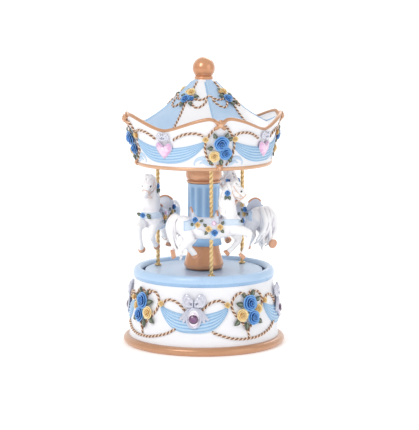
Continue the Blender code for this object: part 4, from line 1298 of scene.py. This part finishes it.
piece("rim_knots", knots.mesh("rim_knots"), GOLD_PAINT, "carousel", "gold_paint")

# %% [markdown]
# The bouquets use the same roses as the base. On the roof, small bouquets sit on the valley ridges,
# where the garlands are gathered.

# %% Bouquets on the valance and the roof
PEAK_ROSES = ((0.2, 5.4, 5.0, "blue"), (3.2, -0.9, 4.2, "blue"), (-3.4, -2.8, 3.6, "yellow"))
PEAK_LEAVES = ((-2.6, 8.4, -24, 3.9), (4.2, 7.2, 64, 3.7), (-4.2, 2.6, -98, 4.0), (0.6, -4.8, 172, 3.8),
               (5.0, -3.8, 132, 3.8), (-4.8, -5.2, -150, 3.2), (2.6, 9.2, 30, 3.2))
ROOF_ROSES = ((0.2, 4.2, 2.9, "yellow"), (-1.2, -1.4, 3.3, "blue"), (2.4, -0.8, 2.4, "blue"),
              (-3.2, 4.6, 2.0, "yellow"))
ROOF_LEAVES = ((3.0, 0.8, 75, 4.0), (-3.0, 1.2, -80, 3.8), (-1.2, -4.4, 190, 3.8), (2.2, -3.4, 140, 3.6),
               (-1.8, 4.6, -30, 3.2))
for turn in QUARTERS:
    canopy_garden.bouquet(on_valance, WREATH + turn, 125.4, PEAK_ROSES, PEAK_LEAVES, 0.8)
    canopy_garden.bouquet(on_roof, VALLEY + turn, 17.4, ROOF_ROSES, ROOF_LEAVES, 0.5, roof=True)
canopy_garden.plant("canopy", "carousel")
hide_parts(*[f"canopy_bouquet_{n}" for n in (1, 2, 3, 4)])

# %% [markdown]
# The heart stone is cut, not cast: its outline is the heart curve, shrunk in steps towards a flat
# table, so that each step is a ring of facets. The shading is left sharp.

# %% Heart stones and their silver bows
SMALL_BOW = bow_shape(0.8, tails=False)
for number, turn in enumerate(QUARTERS, 1):
    valley = VALLEY + turn
    silver = Clay()
    little = Clay()
    little.add(SMALL_BOW, Matrix.Diagonal((0.62, 0.64, 0.75, 1)))
    for x, y, size in ((0, 2.2, 0.75), (-1.5, 2.9, 0.55), (1.5, 2.9, 0.55), (0, 3.7, 0.55),
                       (0, -0.5, 0.75)):
        ball(little, (x, y, 1.1), size, 0.6)
    silver.add(bent(little, on_valance, valley, 132.3, 0.7), identity)
    frame_outline = heart_curve(10.8, 9.8, 0, 36, 1.7)
    silver.add(bent(ring_clay(frame_outline, 0.3), on_valance, valley, 125.4, 0.6), identity)
    piece(f"silver_crest_{number}", silver.mesh("silver_crest"), SILVER_PAINT, "carousel", "silver_paint")
    gem = bent(cut_stone(heart_curve(10.7, 9.8, 0, 18, 1.7), 2.4, 0.48), on_valance, valley, 125.4, 0.6)
    piece(f"pink_heart_{number}", gem.mesh("pink_heart", sharp=5), PINK_STONE, "carousel", "pink_gem",
          [f"heart_gem_{number}"])
print(f"{canopy_garden.count} roses on the canopy")

# %% [markdown]
# ## The horses
#
# The three horses are copies from one mould: galloping, facing the way the carousel turns, each pierced
# by its pole at the saddle. The body is built as a sculptor builds an armature: chains of balls joined
# by tapered limbs. A voxel remesh fuses them into one skin and a smoothing pass softens the joints.
# Subdividing a box cage would need hundreds of hand-placed points for the same shape. The hair is a
# second skin of wavy locks, kept apart so that the tack can be laid on the bare body below it.
#
# All of it is made once, in the horse's own axes: +X forward, +Y to its left, +Z up, with the pole at
# the origin.


# %% Skins from chains of balls
def limb(clay, chain, sides=16):
    """A round limb through (forward, left, height, radius), with a ball at each joint."""
    joints = [(Vector(j[:3]), j[3]) for j in chain]
    for centre, radius in joints:
        ball(clay, centre, radius, sides=sides)
    for (a, r), (b, s) in zip(joints, joints[1:]):
        tube(clay, [a, a.lerp(b, 0.5), b], lambda share, r=r, s=s: r + (s - r) * share, sides, out=front)


def skin(clay, grain, rounds):
    """Fuse overlapping shapes into one smooth skin; its hollows are stored as a low tint, for painted
    shade, and its crests as a high tint, for painted highlight.
    """
    mesh = modified(clay.mesh("rough"), ("REMESH", {"mode": "VOXEL", "voxel_size": grain * MM}),
                    ("SMOOTH", {"factor": 0.5, "iterations": rounds}))
    points = np.zeros(len(mesh.vertices) * 3)
    mesh.vertices.foreach_get("co", points)
    points = points.reshape(-1, 3) / MM
    normals = np.zeros(len(mesh.vertices) * 3)
    mesh.vertices.foreach_get("normal", normals)
    normals = normals.reshape(-1, 3)
    edges = np.zeros(len(mesh.edges) * 2, dtype=int)
    mesh.edges.foreach_get("vertices", edges)
    edges = edges.reshape(-1, 2)
    degree = np.bincount(edges.ravel(), minlength=len(points))[:, None]

    def average(values):
        total = np.zeros_like(values)
        np.add.at(total, edges[:, 0], values[edges[:, 1]])
        np.add.at(total, edges[:, 1], values[edges[:, 0]])
        return total / degree

    bend = np.sum((average(points) - points) * normals, axis=1, keepdims=True)
    for _ in range(4):
        bend = average(bend)
    fused = Clay()
    fused.points = [tuple(p) for p in points.tolist()]
    fused.faces = [tuple(p.vertices) for p in mesh.polygons]
    fused.tints = np.clip(0.58 - bend[:, 0] * 14 / grain, 0.02, 0.98).tolist()
    return fused


SOLES = (((18.4, -3.3, 59.2), (-0.72, 0, -0.7), 2.3), ((9.9, 3.3, 60.4), (-0.8, 0, -0.6), 2.1),
         ((-24.8, -4.8, 61.8), (-0.98, 0, -0.2), 2.9), ((-9.5, 3.4, 58.6), (0.35, 0, -0.93), 2.1))
body = Clay()
for chain in (
        ((-17.5, 0, 78.6, 6.5), (-12, 0, 77.2, 6.3), (-4, 0, 76.4, 6.3), (4, 0, 76.4, 6.2),
         (10, 0, 77.6, 6.3), (13.2, 0, 79.8, 5.8)),
        ((-17.5, 2.0, 79.5, 5.6), (-17.5, -2.0, 79.5, 5.6)),
        ((12.8, 0, 78.4, 5.5), (11.3, 0, 83.2, 5.2), (10.8, 0, 88, 4.9), (10.4, 0, 93, 4.4),
         (11.2, 0, 97.6, 3.9), (13.8, 0, 101.2, 3.3)),
        ((13.6, -1.9, 77.2, 4.5), (13.6, 1.9, 77.2, 4.5)),
        ((14.0, 0, 101.6, 3.4), (17.4, 0, 99.6, 3.0), (19.9, 0, 96.3, 2.2), (21.1, 0, 94.4, 1.8)),
        ((15.4, -1.4, 98.4, 2.5), (15.6, 1.4, 98.4, 2.5)),
        ((15.8, 0, 97.2, 2.4), (19.0, 0, 94.2, 1.7), (20.2, 0, 92.9, 1.35)),
        ((21.5, -0.8, 94.6, 0.95), (21.5, 0.8, 94.6, 0.95)),
        ((17.5, -2.1, 100.5, 1.1), (18.3, -2.0, 98.8, 0.9)),
              ((17.5, 2.1, 100.5, 1.1), (18.3, 2.0, 98.8, 0.9)),
        ((13.6, -1.9, 103.6, 1.15), (13.9, -2.4, 105.4, 0.95), (14.5, -2.4, 106.6, 0.35)),
        ((13.6, 1.9, 103.6, 1.15), (13.9, 2.4, 105.4, 0.95), (14.5, 2.4, 106.6, 0.35)),
        ((13, -3, 77, 4.2), (18, -3.3, 75.4, 3.1), (22.9, -3.3, 73.8, 2.3), (22.8, -3.3, 71.4, 1.9),
         (21.6, -3.3, 66, 1.6), (20.7, -3.3, 62.6, 1.9), (19.5, -3.3, 60.4, 1.9)),
        ((13, 3, 76, 4.0), (17.4, 3.3, 70.2, 2.6), (17.2, 3.3, 67.6, 2.0), (13.8, 3.3, 63.6, 1.5),
         (12.2, 3.3, 62.2, 1.7), (11.2, 3.3, 61.4, 1.75)),
        ((-16.5, -2.6, 77, 5.2), (-14.6, -3.6, 71.4, 3.7), (-17.6, -3.6, 67.0, 2.4),
         (-19.4, -3.9, 65.0, 1.9), (-21.2, -4.3, 63.2, 1.9), (-22.8, -4.7, 62.2, 2.2)),
        ((-16, 2.6, 77, 5.0), (-11.8, 3.4, 70.6, 3.7), (-14.2, 3.4, 66.6, 2.6), (-13.2, 3.4, 64.0, 2.0),
         (-11.0, 3.4, 61.6, 1.9), (-10.0, 3.4, 60.2, 1.9))):
    limb(body, chain)
hide = skin(body, 0.5, 4)
print(f"the skin has {len(hide.faces)} faces")

# %% [markdown]
# Mane and tail are bundles of locks. Each lock swings from side to side as it falls and thins out to a
# curl, and neighbouring locks swing out of step, which gives the grooves between them.


# %% Mane, forelock and tail
def lock(clay, path, radius, wave, phase, sideways=True):
    """A tapered wavy lock through a few points."""
    line = smooth_path([Vector(p) for p in path], 0.5)
    count = len(line)
    swung = []
    for n, point in enumerate(line):
        share = n / (count - 1)
        swing = wave * sin(phase + 8.5 * share) * (0.3 + share)
        side = (swing * 0.4, swing, 0) if sideways else (swing, swing * 0.3, 0)
        swung.append(point + Vector(side))

    def width(s):
        return radius * (0.75 + 0.45 * sin(pi * min(1, s * 1.3))) * (1 - 0.55 * s ** 3.0)

    tube(clay, swung, width, 10, out=lambda p: Vector((0.3, 1, 0.2)))


hair = Clay()
for side in (-1, 1):
    for n in range(9):
        high = 104.6 - 2.1 * n
        back = 10.8 - 4.6 * sin(pi * min(1, n / 6) / 2)
        fall = 5.6 - 0.15 * n
        lock(hair, ((back + 1.4, side * 0.3, high), (back - 0.6, side * 1.6, high - 0.6),
                    (back + 0.8, side * (3.1 + 0.12 * n), high - fall * 0.55),
                    (back + 2.6, side * (3.3 + 0.15 * n), high - fall)), 1.05, 0.35, n * 1.7 + side,
             False)
for x, y, down, turn in ((12.6, -1.0, 4.6, 0.0), (13.0, 0.2, 5.4, 2.0), (12.6, 1.2, 4.4, 4.0)):
    lock(hair, ((x, y, 104.6), (x + 2.2, y * 1.2, 106.0), (x + 4.0, y * 1.4, 104.6),
                (x + 4.9, y * 1.3, 104.8 - down * 0.6)),
         0.95, 0.3, turn)
for n in range(11):
    y = (n - 5) * 0.95 - 0.8
    reach = -25.0 - 0.9 * cos(n * 1.9)
    end = 57.4 + 1.2 * abs(n - 5) ** 0.9
    lock(hair, ((-19.4, y * 0.3, 83.6), (-22.8, y * 0.55, 84.6), (reach, y * 0.85, 79.4),
                (reach + 0.8, y, 71.0), (reach + 3.4 + 0.6 * (n % 3), y * 1.15, 64.0),
                (-19.4 + 1.4 * sin(n * 2.3), y * 1.2, end)),
         1.55, 1.15, n * 1.3, n % 2 == 0)
locks = skin(hair, 0.38, 2)
print(f"the hair has {len(locks.faces)} faces")

# %% [markdown]
# ### Tack
#
# Saddle, cloth and straps must follow the body closely, so they are laid on it: a ray is shot from
# outside towards the body for every point of a grid, and the point is put a little above where the ray
# lands. This fits any body shape, and the grid's own borders give clean edges.


# %% Laying tack on the skin
hide_tree = BVHTree.FromPolygons([Vector(p) for p in hide.points], hide.faces)


def laid(start, target, lift, tree=hide_tree):
    """The point above the skin where a ray from start to target lands."""
    way = (Vector(target) - Vector(start)).normalized()
    hit = tree.ray_cast(Vector(start), way)[0]
    return (hit if hit is not None else Vector(target)) - way * lift


def sheet(clay, place, across, along, thick, tint=0.55):
    """A padded sheet from a function of two shares: rounded borders, and a back just under the skin. Its
    borders are painted darker, as painted shade, and its padded middle lighter, as painted highlight.
    """
    rows, tints = [], []
    for i in range(along):
        u = i / (along - 1)
        row, shades = [], []
        for j in range(across):
            v = j / (across - 1)
            border = min(u, 1 - u, v, 1 - v)
            full = min(1.0, border / 0.12) ** 0.5
            row.append(place(u, v, thick * full))
            shades.append(tint - 0.15 * (border < 0.04) + 0.2 * full * (border > 0.1))
        under = [place(u, v, -0.3) for v in (0.92, 0.66, 0.34, 0.08)]
        rows.append(row + under)
        tints.append(shades + [0.2] * 4)
    clay.grid(rows, tints, round_columns=True, caps=True)


def over_back(forward, angle, lift):
    """A point over the back: the angle is from the spine, in degrees, towards the left."""
    a = radians(angle)
    centre = Vector((forward, 0, 77.0))
    return laid(centre + Vector((0, sin(a), cos(a))) * 30, centre, lift)


def round_body(middle, height, angle, lift):
    """A point round the body at a height: the angle is from straight ahead, in degrees."""
    a = radians(angle)
    centre = Vector((middle, 0, height))
    return laid(centre + Vector((cos(a), sin(a), 0)) * 30, centre, lift)


SADDLE_BACK, SADDLE_LENGTH = -13.0, 17.6
CANTLE, POMMEL = -11.6, 3.4


def saddle_point(u, v, lift):
    """A point over the saddle: u from back to front, v from right to left."""
    forward = SADDLE_BACK + SADDLE_LENGTH * u
    half = 50 + 24 * max(0.0, 1 - ((forward + 3.0) / 8.8) ** 2) ** 0.8
    angle = (v * 2 - 1) * half
    crown = max(0.0, cos(radians(angle * 1.35))) ** 1.3
    cantle = 5.4 * exp(-((forward - CANTLE) / 1.6) ** 2) + 3.9 * exp(-((forward - POMMEL) / 1.3) ** 2)
    lean = -0.9 * exp(-((forward - CANTLE) / 1.6) ** 2) * crown
    point = over_back(forward, angle, lift + (cantle * crown + 0.1) * (lift > 0))
    return point + Vector((lean * (lift > 0), 0, 0))


def cloth_point(u, v, lift):
    forward = -9.5 + 15.5 * u
    half = 92 + 36 * max(0.0, 1 - abs(forward + 0.6) / 7.5) ** 1.2
    return over_back(forward, (v * 2 - 1) * half, lift)


saddle, blanket, cloth, trim, edging = Clay(), Clay(), Clay(), Clay(), Clay()
sheet(saddle, saddle_point, 61, 57, 0.8, 0.5)
sheet(blanket, cloth_point, 81, 41, 0.75, 0.6)
sheet(cloth, lambda u, v, lift: round_body(8.0, 79.2 + 3.6 * v, -112 + 224 * u, lift), 9, 81, 0.7, 0.6)
sheet(cloth, lambda u, v, lift: over_back(-1.0 + 2.6 * v, 100 + 160 * u, lift), 9, 61, 0.7, 0.55)
for side in (-1, 1):
    def patch(u, v, lift):
        forward, height = -18.2 + 7.4 * u, 76.4 + 6.0 * v + 1.2 * u
        return laid((forward, side * 30, height), (forward, 0, height), lift)

    def tip(u, v, lift):
        return cloth_point(0.36 + 0.43 * u, 0.5 + side * (0.385 + 0.11 * v), lift + 0.3)

    sheet(cloth, patch, 25, 31, 0.6, 0.5)
    sheet(cloth, tip, 13, 25, 0.75, 0.5)
for forward in (CANTLE, POMMEL):
    share = (forward - SADDLE_BACK) / SADDLE_LENGTH
    crest = [saddle_point(share, v, 0.9) for v in np.linspace(0.26, 0.74, 29)]
    tube(edging, smooth_path(crest, 0.4), 0.55, 8, tint=0.45, out=front)

# %% [markdown]
# The bridle is thin gilded cord: a noseband and a headband round the head, and a cheek strap on each
# side. Eyes are glossy beads set in the skin. The soles of the hooves are copper.

# %% Bridle, eyes and hooves
HEAD_UP = Vector((0.77, 0, 0.64))
muzzle = Vector((19.5, 0, 95.7))
noseband = [laid(muzzle + (HEAD_UP * cos(a) + Vector((0, sin(a), 0))) * 12, muzzle, 0.12)
            for a in np.linspace(0, tau, 40, endpoint=False)]
tube(trim, smooth_path(noseband, 0.3, True), 0.25, 8, closed=True, tint=0.5,
     out=lambda p: p - Vector((16.4, 0, 98)))


def on_side(forward, height, side, lift=0.15, tree=hide_tree):
    return laid((forward, side * 20, height), (forward, 0, height), lift, tree)


eyes, gems, soles = Clay(), Clay(), Clay()
for side in (-1, 1):
    for path in (((19.8, 95.4), (17.8, 97.2), (15.8, 99.2), (14.0, 101.6), (13.4, 103.2)),
                 ((19.3, 94.9), (16.6, 95.4), (14.2, 96.2), (12.8, 98.4), (12.6, 100.6))):
        line = smooth_path([on_side(x, z, side) for x, z in path], 0.35)
        tube(trim, line, 0.25, 6, tint=0.55, out=lambda p: Vector((0, side, 0)))
    ball(eyes, on_side(18.2, 99.6, side, -0.25), 0.74, 0.5)
    lid = [on_side(x, z, side, 0.12) for x, z in ((17.2, 99.6), (17.9, 100.5), (19.0, 100.1))]
    tube(locks, smooth_path(lid, 0.2), 0.3, 6, tint=0.5, out=lambda p: Vector((0, side, 0)))
    gem = cut_stone(oval(2.7, 3.1, 10), 1.0)
    turn = Matrix.Rotation(pi / 2 * (1 if side < 0 else -1), 4, "X")
    gems.add(gem, Matrix.Translation(on_side(0.8, 80.6, side, 1.3)) @ turn)
for place, way, radius in SOLES:
    along = Vector(way).normalized()
    path = [Vector(place) + along * d for d in (-1.6, -0.8, 0.0, 0.6, 0.75)]
    sizes = {0.0: radius * 0.8, 0.25: radius * 0.95, 0.5: radius * 1.04, 0.75: radius, 1.0: radius * 0.86}
    tube(soles, path, lambda s: float(np.interp(s, list(sizes), list(sizes.values()))), 20, tint=0.55,
         out=lambda p: Vector((0.3, 1, 0.2)))

# %% [markdown]
# Every horse carries flowers on both flanks, on the neck and on the breast strap. They are laid on the
# dressed horse, so a second ray tree holds the skin, the hair and the tack together.

# %% Flowers on the tack, and the three finished horses
HORSE_ROSES = ((9.4, 98.9, 2.4, "blue"), (-11.0, 83.2, 2.4, "blue"), (-9.4, 80.0, 2.3, "yellow"),
               (-2.8, 77.4, 2.55, "yellow"), (4.4, 78.4, 2.5, "yellow"), (0.9, 75.0, 2.8, "blue"))
HORSE_LEAVES = ((8.8, 97.4, 200, 2.9), (10.2, 97.2, 165, 2.9), (-12.0, 80.8, -125, 2.8),
                (-7.8, 81.8, 60, 2.6), (-3.6, 76.0, 215, 2.9), (5.0, 76.8, 140, 2.9),
                (5.4, 80.0, 40, 2.6), (-4.0, 79.0, -50, 2.7))


def turned_by(degrees, axis):
    return Matrix.Rotation(radians(degrees), 4, axis)


dressed = Clay()
for clay in (hide, locks, saddle, blanket, cloth):
    dressed.add(clay, identity)
dressed_tree = BVHTree.FromPolygons([Vector(p) for p in dressed.points], dressed.faces)
horse_garden = Garden()
BREAST_HEIGHT = 81.2
for number, pole_angle in enumerate(POLE_ANGLES, 1):
    stand_at = Matrix.Translation(spot(pole_angle, POLE_CIRCLE)) @ turned_by(pole_angle, "Z")
    for side in (-1, 1):
        outward = turned_by(180 if side > 0 else 0, "Z") @ turned_by(90, "X")
        for kind, rows in (("rose", HORSE_ROSES), ("leaf", HORSE_LEAVES)):
            for forward, height, size, what in rows:
                point = on_side(forward, height, side, -0.2 if kind == "rose" else 0.0, dressed_tree)
                place = Matrix.Translation(point) @ outward
                if kind == "rose":
                    horse_garden.rose(stand_at @ place, size, what, small=True)
                else:
                    horse_garden.leaf(stand_at @ place, -side * size, what)
    breast = turned_by(90, "Z") @ turned_by(90, "X")
    point = laid((40, -2.0, BREAST_HEIGHT), (0, -2.0, BREAST_HEIGHT), 0.6)
    horse_garden.rose(stand_at @ Matrix.Translation(point) @ breast, 2.2, "blue", small=True)
    for across, angle in ((0.4, 80), (-3.9, -70), (1.2, 130)):
        point = laid((40, across, BREAST_HEIGHT), (0, across, BREAST_HEIGHT), 0.5)
        horse_garden.leaf(stand_at @ Matrix.Translation(point) @ breast, angle, 3.2)
    for name, clay, paint, slot, sharp in (
            ("skin", hide, HORSE_PAINT, "white_resin", 80),
            ("hair", locks, HORSE_PAINT, "white_resin", 80),
            ("saddle", saddle, SADDLE_PAINT, "turntable_blue", 60),
            ("straps", cloth, PALE_BLUE, "blue_paint", 60),
            ("blanket", blanket, PEARL_PAINT, "silver_paint", 60),
            ("trim", trim, PALE_GOLD, "gold_paint", 60),
            ("edging", edging, HOOF_PAINT, "gold_paint", 60),
            ("eyes", eyes, EYE_PAINT, "dark_plastic", 60),
            ("soles", soles, HOOF_PAINT, "gold_paint", 40),
            ("gems", gems, PINK_STONE, "pink_gem", 5)):
        placed = Clay()
        placed.add(clay, stand_at)
        replaced = [f"horse_{number}"] if name == "skin" else []
        piece(f"horse_{number}_{name}", placed.mesh(name, sharp), paint, "carousel", slot, replaced)
horse_garden.plant("horse", "carousel")
print(f"three horses with {horse_garden.count} roses")

# %% [markdown]
# ## The underside and the ceiling
#
# Turned over, the box shows its black cover, six screws and the brass winding key. The cover is moulded
# plastic with raised rings. A screw head is a low dome with a cross recess. A disc with a painted cross
# would be cheaper, but the recess is what catches the light, so it is pressed into a polar grid.

# %% Cover, screws and canopy ceiling
cover_low, cover_high = box_mm("bottom_cover")
cover_face = cover_low.z
cover_section = [(5.0, cover_high.z), (cover_high.x, cover_high.z), (cover_high.x, cover_face + 0.4),
                 (cover_high.x - 0.4, cover_face)]
for groove in (38.2, 33.0, 22.6, 12.6):
    cover_section += [(groove + 0.7, cover_face), (groove + 0.35, cover_face + 0.45),
                      (groove - 0.35, cover_face + 0.45), (groove - 0.7, cover_face)]
cover_section += [(8.4, cover_face), (7.8, cover_face - 0.5), (5.6, cover_face - 0.5),
                  (5.0, cover_face - 0.1)]
# Painted shade: the cover's grooves are darker, and its raised ring lighter, as painted highlight.
piece("cover_moulded",
      turned(cover_section, tint=lambda r, z: 0.5 + 0.5 * (cover_face - z)).mesh("cover_moulded", 25),
      BLACK_PLASTIC, "base", "dark_plastic", ["bottom_cover"])


def screw_shape(head, shank, low, high, end, turn):
    """A round-head screw pointing up, its head underneath with a cross recess, on the axis."""
    screw = Clay()
    rows, tints = [], []
    for share in np.linspace(0.05, 1.0, 20):
        row, shades = [], []
        for n in range(56):
            a = tau * n / 56
            x, y = head * share * cos(a), head * share * sin(a)
            u, v = abs(x * cos(turn) + y * sin(turn)), abs(y * cos(turn) - x * sin(turn))
            recess = min(u, v) < 0.15 * head and max(u, v) < 0.62 * head
            row.append((x, y, low + (high - low) * (0.45 * share ** 3 + 0.5 * recess)))
            # Painted shade in the cross recess.
            shades.append(0.75 - 0.6 * recess)
        rows.append(row)
        tints.append(shades)
    for radius, height in ((head, high), (shank, high), (shank, end)):
        rows.append([(radius * cos(tau * n / 56), radius * sin(tau * n / 56), height) for n in range(56)])
        tints.append([0.4] * 56)
    screw.grid(rows, tints, round_columns=True, caps=True)
    return screw


for kind, head, shank in (("cover_screw", 1.6, 0.9), ("movement_screw", 2.0, 1.0)):
    for number in (1, 2, 3):
        low, high = box_mm(f"{kind}_{number}")
        middle = (low + high) / 2
        screw = Clay()
        screw.add(screw_shape(head, shank, low.z, low.z + (0.8 if head < 1.8 else 1.0), high.z,
                              number * 1.1),
                  Matrix.Translation((middle.x, middle.y, 0)))
        piece(f"{kind}_cross_{number}", screw.mesh(kind, 30), STEEL, "base", "steel",
              [f"{kind}_{number}"])

ceiling_low, ceiling_high = box_mm("canopy_ceiling")
ceiling_section = [(BORE, ceiling_high.z), (ceiling_high.x, ceiling_high.z),
                   (ceiling_high.x, ceiling_low.z + 0.5), (38.4, ceiling_low.z), (36.4, ceiling_low.z),
                   (36.0, ceiling_low.z + 0.4), (14.4, ceiling_low.z + 0.4), (14.0, ceiling_low.z),
                   (BORE, ceiling_low.z)]
# Painted shade: the ceiling disc is painted darker above 113.7 mm, inside the canopy.
piece("ceiling_disc",
      turned(ceiling_section, tint=lambda r, z: 0.6 - 0.3 * (z > 113.7)).mesh("ceiling_disc", 25),
      WHITE_PAINT, "carousel", "white_resin", ["canopy_ceiling"])

# %% [markdown]
# The key is stamped brass: two wings with a hole each, soldered into a hub. A stamped part is a flat
# outline with thickness and softly broken edges, which is exactly what a filled 2D curve with a small
# bevel gives. The hub is turned, with two grooves.


# %% Winding key
def stamped(outlines, thick, bevel, place):
    """A flat part: the first outline is its edge and the others are holes; the result is clay."""
    curve = bpy.data.curves.new("stamped", "CURVE")
    curve.dimensions, curve.fill_mode = "2D", "BOTH"
    curve.extrude = (thick / 2 - bevel) * MM
    curve.bevel_depth, curve.bevel_resolution = bevel * MM, 2
    for outline in outlines:
        spline = curve.splines.new("POLY")
        spline.points.add(len(outline) - 1)
        spline.use_cyclic_u = True
        for point, (x, y) in zip(spline.points, outline):
            point.co = (x * MM, y * MM, 0.0, 1.0)
    obj = bpy.data.objects.new("stamped", curve)
    bpy.context.scene.collection.objects.link(obj)
    bpy.context.view_layer.update()
    mesh = bpy.data.meshes.new_from_object(obj.evaluated_get(bpy.context.evaluated_depsgraph_get()))
    bpy.data.objects.remove(obj)
    bm = bmesh.new()
    bm.from_mesh(mesh)
    bmesh.ops.remove_doubles(bm, verts=bm.verts, dist=0.000002)
    clay, lump = Clay(), Clay()
    lump.points = [tuple(v.co / MM) for v in bm.verts]
    lump.faces = [tuple(v.index for v in face.verts) for face in bm.faces]
    # Painted light: the key's flat faces are lighter than its bevelled edges.
    lump.tints = [0.5 + 0.3 * (abs(v.co.z) > thick * 0.4 * MM) for v in bm.verts]
    bm.free()
    clay.add(lump, place)
    return clay


WING = ((2.6, 5.2), (6.0, 7.3), (9.6, 7.7), (12.2, 6.2), (12.75, 4.2), (11.6, 2.1), (8.2, 1.45),
        (2.6, 2.6))
upright = Matrix.Rotation(pi / 2, 4, "X")
key = Clay()
for side in (-1, 1):
    edge = [(p.x * side, p.y) for p in smooth_path([Vector((x, y, 0)) for x, y in WING], 0.5, True)]
    hole = [(side * 8.8 + 1.5 * cos(tau * n / 24), 4.6 + 1.5 * sin(tau * n / 24)) for n in range(24)]
    key.add(stamped([edge, hole], 1.8, 0.25, upright), identity)
# Painted light: the hub's outer surface, beyond 3.2 mm, is lighter than its grooves, which hold painted
# shade.
key.add(turned(rounded([(2.3, 9.2), (3.4, 9.2), (3.4, 8.2), (3.1, 8.0), (3.4, 7.8), (3.4, 3.0),
                        (3.1, 2.8), (3.4, 2.6), (3.4, 1.6), (1.6, 1.6), (1.6, 5.3), (2.3, 5.3)], 0.12),
               72, lambda r, z: 0.5 + 0.3 * (r > 3.2)), identity)
piece("key_stamped", key.mesh("key_stamped", 35), MOVEMENT_BRASS, "winding", "brass", ["winding_key"])

# %% [markdown]
# ## Finishes for the hidden movement
#
# The movement's own solids already have the right shape, so they are kept, and only their finish is
# new. A turned part shows fine tool marks, so the recipe adds a banded wave to the cloud of tarnish.
# The solids carry no tint, so nothing here reads it. The finish goes into the object's slot, which
# leaves the solid's mesh as it was.


# %% Machined finishes on the kept solids
def machined(name, dark, light, rough, marks=1100.0, depth=0.01):
    """Cut or drawn metal: fine tool marks under a cloud of tarnish."""
    dark, light = srgb(*dark), srgb(*light)
    paint = Paint(name, Metallic=1.0)
    where = paint.node("ShaderNodeTexCoord", {}, {}, "Object")
    lines = paint.node("ShaderNodeTexWave", {"wave_type": "BANDS", "bands_direction": "Z"},
                       {"Vector": where, "Scale": marks, "Distortion": 1.5, "Detail": 2.0}, "Fac")
    cloud, fine = paint.noise(240.0, 4.0), paint.noise(1600.0, 4.0, 0.65)
    shade = cloud * 0.8 + lines * 0.15 + fine * 0.1
    paint.set(Base_Color=paint.mix(shade, dark, light),
              Roughness=rough + (cloud - 0.5) * 0.2 + lines * 0.06)
    paint.set(Normal=paint.bump(lines * 0.6 + fine * 0.4, depth))
    return paint.material


KEPT_STEEL = machined("machined_steel", (112, 114, 120), (186, 188, 194), 0.3)
KEPT_BRASS = machined("machined_brass", (162, 120, 58), (226, 192, 122), 0.28)
KEPT_SPRING = machined("blued_spring_steel", (58, 62, 82), (112, 118, 140), 0.25, 1600.0)
KEPT_ZINC = machined("cast_zinc", (92, 94, 98), (146, 148, 152), 0.5, 300.0, 0.04)
KEPT = {KEPT_STEEL: ("winding_arbor", "ratchet_wheel", "ratchet_click", "comb_screw_1", "comb_screw_2",
                     "governor_bracket", "bracket_screw", "drive_shaft", "tie_rod", "fly"),
        KEPT_BRASS: ("turntable_bush", "spring_barrel", "barrel_lid", "pinned_cylinder",
                     "governor_wheel"),
        KEPT_SPRING: ("comb", "mainspring"),
        KEPT_ZINC: ("movement_bedplate",)}
for finish, nodes in KEPT.items():
    for node in nodes:
        for material_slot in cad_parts[node].material_slots:
            material_slot.link = "OBJECT"
            material_slot.material = finish
print(f"{sum(len(nodes) for nodes in KEPT.values())} kept solids refinished")

# %% [markdown]
# ## Light and camera
#
# A product shot on white: a pale sweep that the object stands on, a big soft light from the upper
# left, weaker ones from the right and from behind, and an even white sky. The camera is long, because
# the object was seen from over a metre away, and looks down a few degrees. It shows the front.

# %% Floor, lights and camera
def stand():
    """A pale floor that rises into a wall far behind, as one smooth sweep."""
    sweep = Clay()
    bend = [(900 + 500 * sin(a), 500 - 500 * cos(a)) for a in np.linspace(0.1, pi / 2, 12)]
    profile = [(-1500, 0), (0, 0), (900, 0)] + bend + [(1400, 2500)]
    sweep.grid([[(x, y, z - 0.02) for y, z in profile] for x in (-2600, 2600)])
    obj = bpy.data.objects.new("floor_sweep", sweep.mesh("floor_sweep"))
    bpy.context.scene.collection.objects.link(obj)
    paper = Paint("white_paper", Base_Color=(0.9, 0.9, 0.9, 1.0), Roughness=0.9,
                  Emission_Color=(1.0, 1.0, 1.0, 1.0), Emission_Strength=0.3)
    obj.data.materials.append(paper.material)
    obj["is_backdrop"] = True


def soft_light(name, place, size, power):
    lamp = bpy.data.lights.new(name, "AREA")
    lamp.shape, lamp.size, lamp.energy = "DISK", size, power
    obj = bpy.data.objects.new(name, lamp)
    bpy.context.scene.collection.objects.link(obj)
    obj.location = place
    obj.rotation_euler = (Vector((0, 0, 0.09)) - Vector(place)).to_track_quat("-Z", "Y").to_euler()


stand()
soft_light("key_light", (-0.55, -0.75, 0.85), 0.6, 4.8)
soft_light("fill_light", (0.9, -0.6, 0.45), 0.8, 1.5)
soft_light("back_light", (0.3, 0.9, 0.8), 0.6, 2.0)
world = bpy.context.scene.world or bpy.data.worlds.new("studio")
bpy.context.scene.world = world
world.use_nodes = True
world.node_tree.nodes["Background"].inputs["Color"].default_value = (1.0, 1.0, 1.0, 1.0)
world.node_tree.nodes["Background"].inputs["Strength"].default_value = 0.6
bpy.context.scene.view_settings.view_transform = "Standard"

CAMERA_PLACE = Vector((3.6, -1230.0, 255.0)) * MM
CAMERA_PITCH = 8.07
eye = bpy.data.cameras.new("camera")
eye.sensor_width, eye.lens = 36.0, 164.93
eye.clip_end = 20.0
camera = bpy.data.objects.new("camera", eye)
bpy.context.scene.collection.objects.link(camera)
camera.location = CAMERA_PLACE
camera.rotation_euler = (radians(90 - CAMERA_PITCH), 0, 0)
bpy.context.scene.camera = camera
print(f"lens {eye.lens:.0f} mm")

# %% [markdown]
# ## Sizes of the solids and the looks
#
# The looks must stay inside the working solids' box, so both boxes are printed side by side.

# %% Sizes
looks_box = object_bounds()
sizes = {"cad": [list(corner) for corner in cad_box], "looks": [list(corner) for corner in looks_box]}
print("solids", [round(c, 4) for corner in cad_box for c in corner])
print("looks ", [round(c, 4) for corner in looks_box for c in corner])
